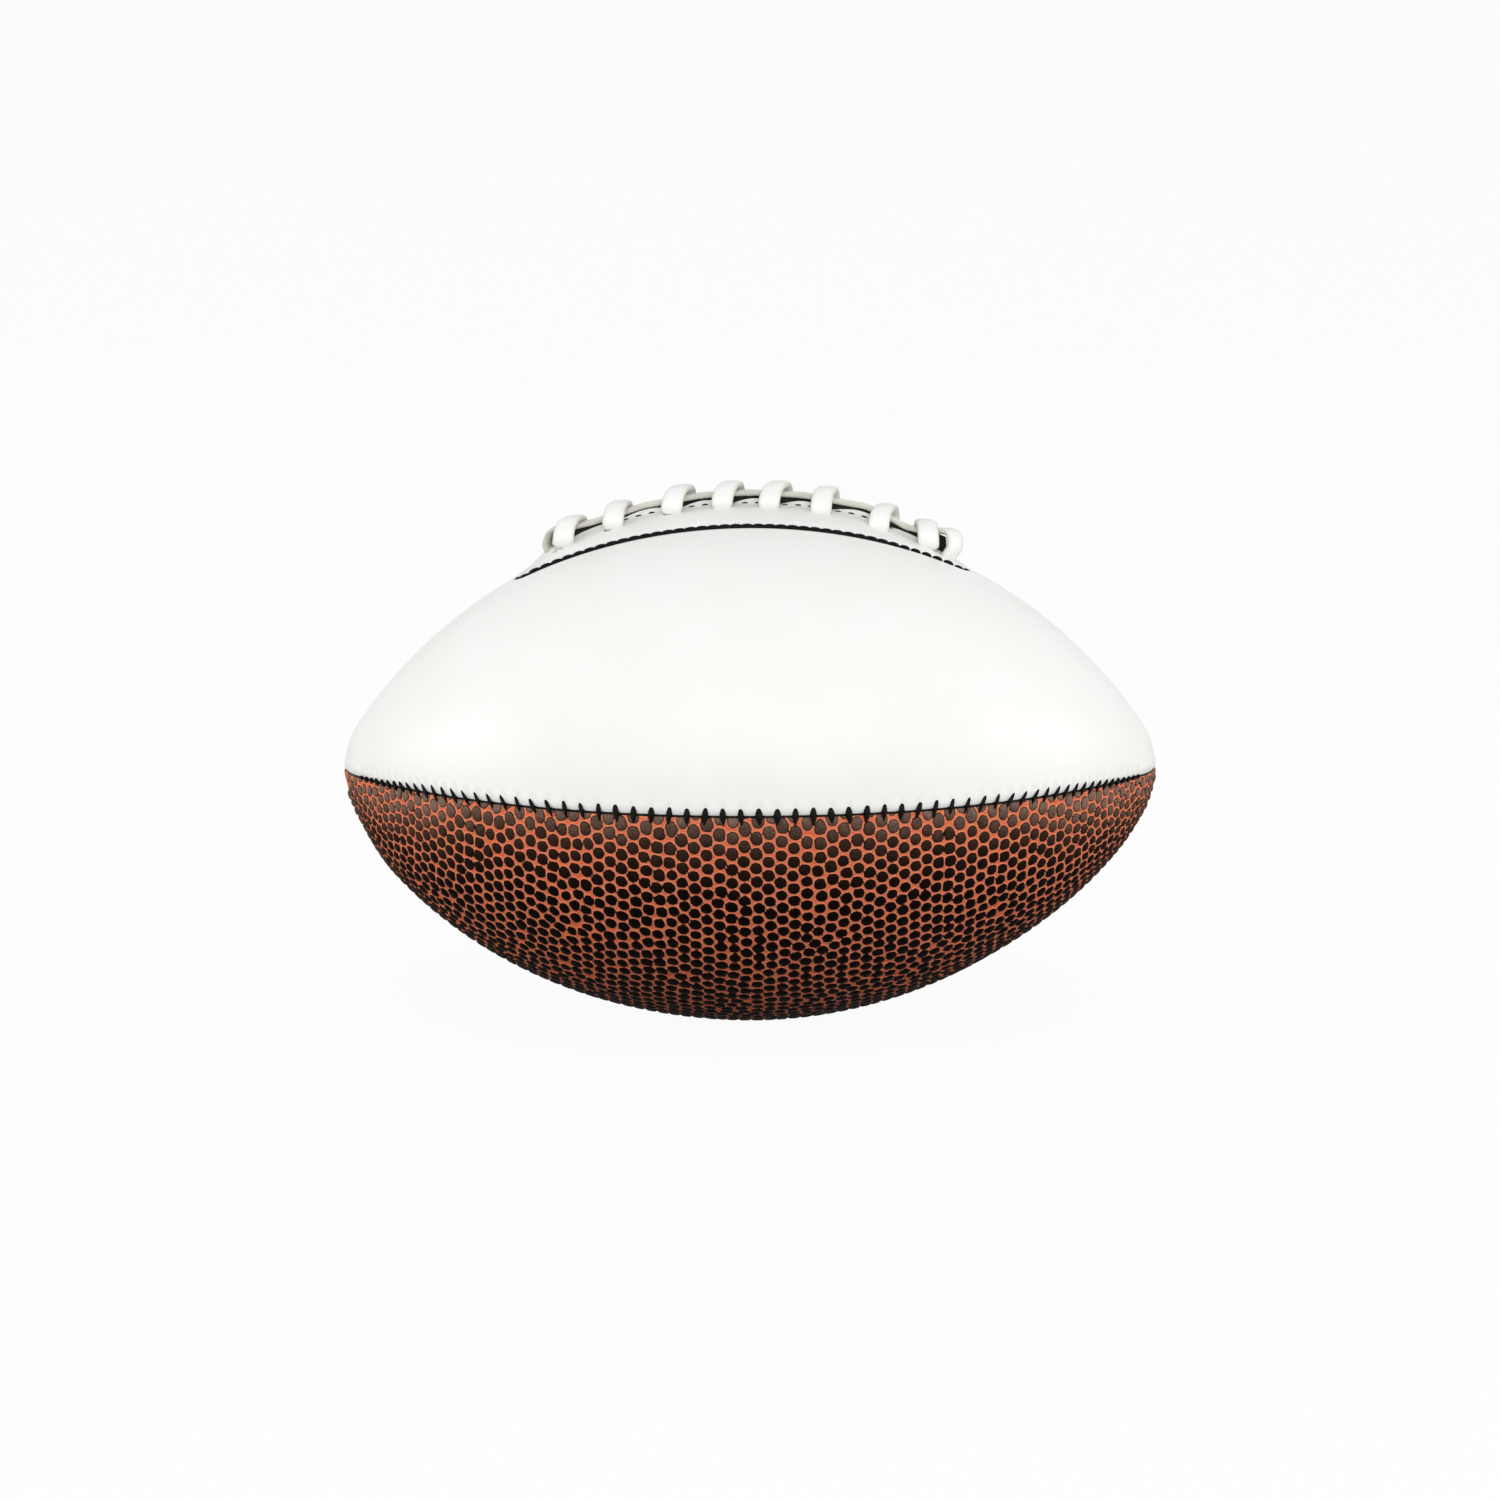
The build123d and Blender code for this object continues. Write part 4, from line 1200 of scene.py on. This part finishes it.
def patchOutline(inset, pitch):  # evenly spaced plan points round the patch, with headings
    side, half, end, angle = outlineSizes(inset)
    turns = np.linspace(-angle, angle, 400)
    upper = np.stack([side * np.sin(turns), side * np.cos(turns) - side + half], -1)
    turns = np.linspace(angle, math.pi - angle, 120)
    rightEnd = np.stack([patchForm["endX"] + end * np.sin(turns), end * np.cos(turns)], -1)
    loop = np.concatenate([upper, rightEnd, -upper, -rightEnd, upper[:1]])
    beyond = np.maximum(np.abs(loop[:, 0]) - patchForm["endX"], 0)
    loop[:, 0] += patchForm["middle"] - np.sign(loop[:, 0]) * beyond * (1 - endSquash)
    lengths = np.concatenate([[0], np.cumsum(np.linalg.norm(np.diff(loop, axis=0), axis=1))])
    count = round(lengths[-1] / pitch)
    wanted = np.arange(count) / count * lengths[-1]
    points = np.stack([np.interp(wanted, lengths, loop[:, i]) for i in range(2)], -1)
    onward = (wanted + 0.1) % lengths[-1]
    ahead = np.stack([np.interp(onward, lengths, loop[:, i]) for i in range(2)], -1)
    return points, (ahead - points) / np.linalg.norm(ahead - points, axis=1)[:, None]


def makeEdgeThread():
    bm = bmesh.new()
    points, headings = patchOutline(edgeThread["inside"], edgeThread["pitch"])
    for point, heading in zip(points, headings):
        verts = bmesh.ops.create_uvsphere(bm, u_segments=8, v_segments=6, radius=1.0)["verts"]
        shape = np.array([vert.co[:] for vert in verts])
        fromMiddle = abs(point[0] - patchForm["middle"])
        loose = float(ease(fromMiddle, edgeThread["loosenFrom"], edgeThread["loosenTo"]))
        loose *= edgeThread["leftLoose"] if point[0] < 0 else 1.0
        atTip = float(ease(fromMiddle, patchForm["endX"], patchHalfLength))
        length = edgeThread["halfLength"] + loose * (edgeThread["endHalfLength"] - edgeThread["halfLength"])
        height = edgeThread["halfHeight"] + loose * (edgeThread["endHalfHeight"] - edgeThread["halfHeight"])
        height *= 1 - atTip * (1 - edgeThread["tipHeight"])
        lift = edgeThread["lift"] + atTip * (edgeThread["tipLift"] - edgeThread["lift"])
        if point[1] > 0:
            lift -= edgeThread["farDrop"] * float(ease(fromMiddle, *edgeThread["farDropFrom"]))
        along = shape[:, 2] * length
        across = shape[:, 0] * edgeThread["halfWidth"]
        x = point[0] + along * heading[0] - across * heading[1]
        y = point[1] + along * heading[1] + across * heading[0]
        putVerts(verts, overTop(x, y, lift + shape[:, 1] * height))
    newPiece(bm, "patch_edge_stitches", "ball", ["patch_edge_thread"], threadBlack)
    print("edge thread made,", len(points), "stitches")


def makeSlitThread():
    bm = bmesh.new()
    for middle in np.arange(*slitThread["ends"], slitThread["pitch"]):
        for side in (-slitThread["side"], slitThread["side"]):
            verts = bmesh.ops.create_uvsphere(bm, u_segments=6, v_segments=6, radius=1.0)["verts"]
            shape = np.array([vert.co[:] for vert in verts])
            x = middle + shape[:, 2] * slitThread["halfLength"]
            y = side + shape[:, 0] * slitThread["radius"]
            putVerts(verts, overTop(x, y, patchLift(x, y) + shape[:, 1] * slitThread["radius"]))
    newPiece(bm, "slit_edge_stitches", "ball", ["slit_edge_thread"], threadBlack)
    print("slit thread made")


makeEdgeThread()
makeSlitThread()

# Finishes of the pieces that come from the frame as they are
for node, material in (
    ("front_white_panel_lining", liningGrey),
    ("front_brown_panel_lining", liningGrey),
    ("rear_brown_panel_lining", liningGrey),
    ("rear_white_panel_lining", liningGrey),
    ("bladder", bladderBlack),
    ("valve_patch", bladderBlack),
    ("valve_housing", valveBlack),
    ("valve_core", valveBlack),
):
    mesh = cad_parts[node].data
    mesh.materials.clear()
    mesh.materials.append(material)
print("frame pieces finished")

# Floor, light and camera
studio = {
    "floor": "#f6f6f5",
    "floorSize": 6.0,
    "floorBounce": "#8c8b89",  # what the floor throws back at the ball
    "floorGlow": 0.95,  # share of the floor that is plain white to the camera
    "worldLight": 0.5,
    "softboxes": {  # place, width, height and power
        "keySoftbox": ((0.1, -1.35, 0.65), 1.8, 0.8, 12.2),
        "leftSoftbox": ((-1.25, -0.25, 0.3), 0.8, 0.5, 5.6),
        "rightSoftbox": ((1.25, -0.25, 0.3), 0.8, 0.5, 5.1),
    },
    "softboxAim": (0, 0, 0.05),
}


def seenDirectly(tree):  # 1 where the camera looks, straight or by way of metal or glass
    path = addNode(tree, "ShaderNodeLightPath")
    seen = path.outputs["Is Camera Ray"]
    for ray in ("Is Glossy Ray", "Is Transmission Ray"):
        either = addNode(tree, "ShaderNodeMath", {0: seen, 1: path.outputs[ray]}, operation="MAXIMUM")
        seen = either.outputs[0]
    return seen


# White paper: to the camera it is almost plain white with a faint shadow, to the ball a soft grey
floorMaterial, tree = newMaterial("pale paper floor")
paper = addNode(tree, "ShaderNodeBsdfDiffuse", {"Color": linear(studio["floor"])})
bounce = addNode(tree, "ShaderNodeBsdfDiffuse", {"Color": linear(studio["floorBounce"])})
white = addNode(tree, "ShaderNodeEmission", {"Strength": 1.0})
lit = addNode(
    tree,
    "ShaderNodeMixShader",
    {"Fac": studio["floorGlow"], 1: paper.outputs["BSDF"], 2: white.outputs["Emission"]},
)
both = addNode(
    tree,
    "ShaderNodeMixShader",
    {"Fac": seenDirectly(tree), 1: bounce.outputs["BSDF"], 2: lit.outputs["Shader"]},
)
addNode(tree, "ShaderNodeOutputMaterial", {"Surface": both.outputs["Shader"]})
bm = bmesh.new()
bmesh.ops.create_grid(bm, x_segments=1, y_segments=1, size=studio["floorSize"])
floorMesh = bpy.data.meshes.new("floor")
bm.to_mesh(floorMesh)
bm.free()
floorMesh.materials.append(floorMaterial)
floor = bpy.data.objects.new("floor", floorMesh)
bpy.context.scene.collection.objects.link(floor)

world = bpy.data.worlds.new("white room")
bpy.context.scene.world = world
world.use_nodes = True
tree = world.node_tree
tree.nodes.clear()
strength = addNode(
    tree,
    "ShaderNodeMapRange",
    {"Value": seenDirectly(tree), "To Min": studio["worldLight"], "To Max": 1.0},
)
sky = addNode(
    tree,
    "ShaderNodeBackground",
    {"Color": (1.0, 1.0, 1.0, 1.0), "Strength": strength.outputs["Result"]},
)
addNode(tree, "ShaderNodeOutputWorld", {"Surface": sky.outputs["Background"]})

for name, (spot, width, height, power) in studio["softboxes"].items():
    lamp = bpy.data.lights.new(name, "AREA")
    lamp.shape = "RECTANGLE"
    lamp.size = width
    lamp.size_y = height
    lamp.energy = power
    holder = bpy.data.objects.new(name, lamp)
    holder.location = spot
    towards = Vector(studio["softboxAim"]) - Vector(spot)
    holder.rotation_euler = towards.to_track_quat("-Z", "Y").to_euler()
    bpy.context.scene.collection.objects.link(holder)

cameraView = {
    "elevation": 10.8,
    "distance": 1.3,
    "frameWidth": 0.3296,  # at the ball
    "aimOver": 0.0038,  # the aim above the ball's axis, up the picture
    "roll": 0.1,
    "sensor": 36.0,
    "farthest": 20.0,
}
camera = bpy.data.objects.new("camera", bpy.data.cameras.new("camera"))
camera.data.sensor_width = cameraView["sensor"]
camera.data.lens = cameraView["sensor"] * cameraView["distance"] / cameraView["frameWidth"]
lift = math.radians(cameraView["elevation"])
back = Vector((0, -math.cos(lift), math.sin(lift)))
up = Vector((0, math.sin(lift), math.cos(lift)))
aim = Vector((0, 0, ballForm["axisHeight"] / 1000)) + up * cameraView["aimOver"]
camera.location = aim + back * cameraView["distance"]
camera.rotation_mode = "QUATERNION"
roll = Quaternion((0, 0, 1), -math.radians(cameraView["roll"]))
camera.rotation_quaternion = (-back).to_track_quat("-Z", "Y") @ roll
camera.data.clip_end = cameraView["farthest"]
bpy.context.scene.collection.objects.link(camera)
bpy.context.scene.camera = camera
bpy.context.scene.view_settings.view_transform = "Standard"
print("light and camera set")
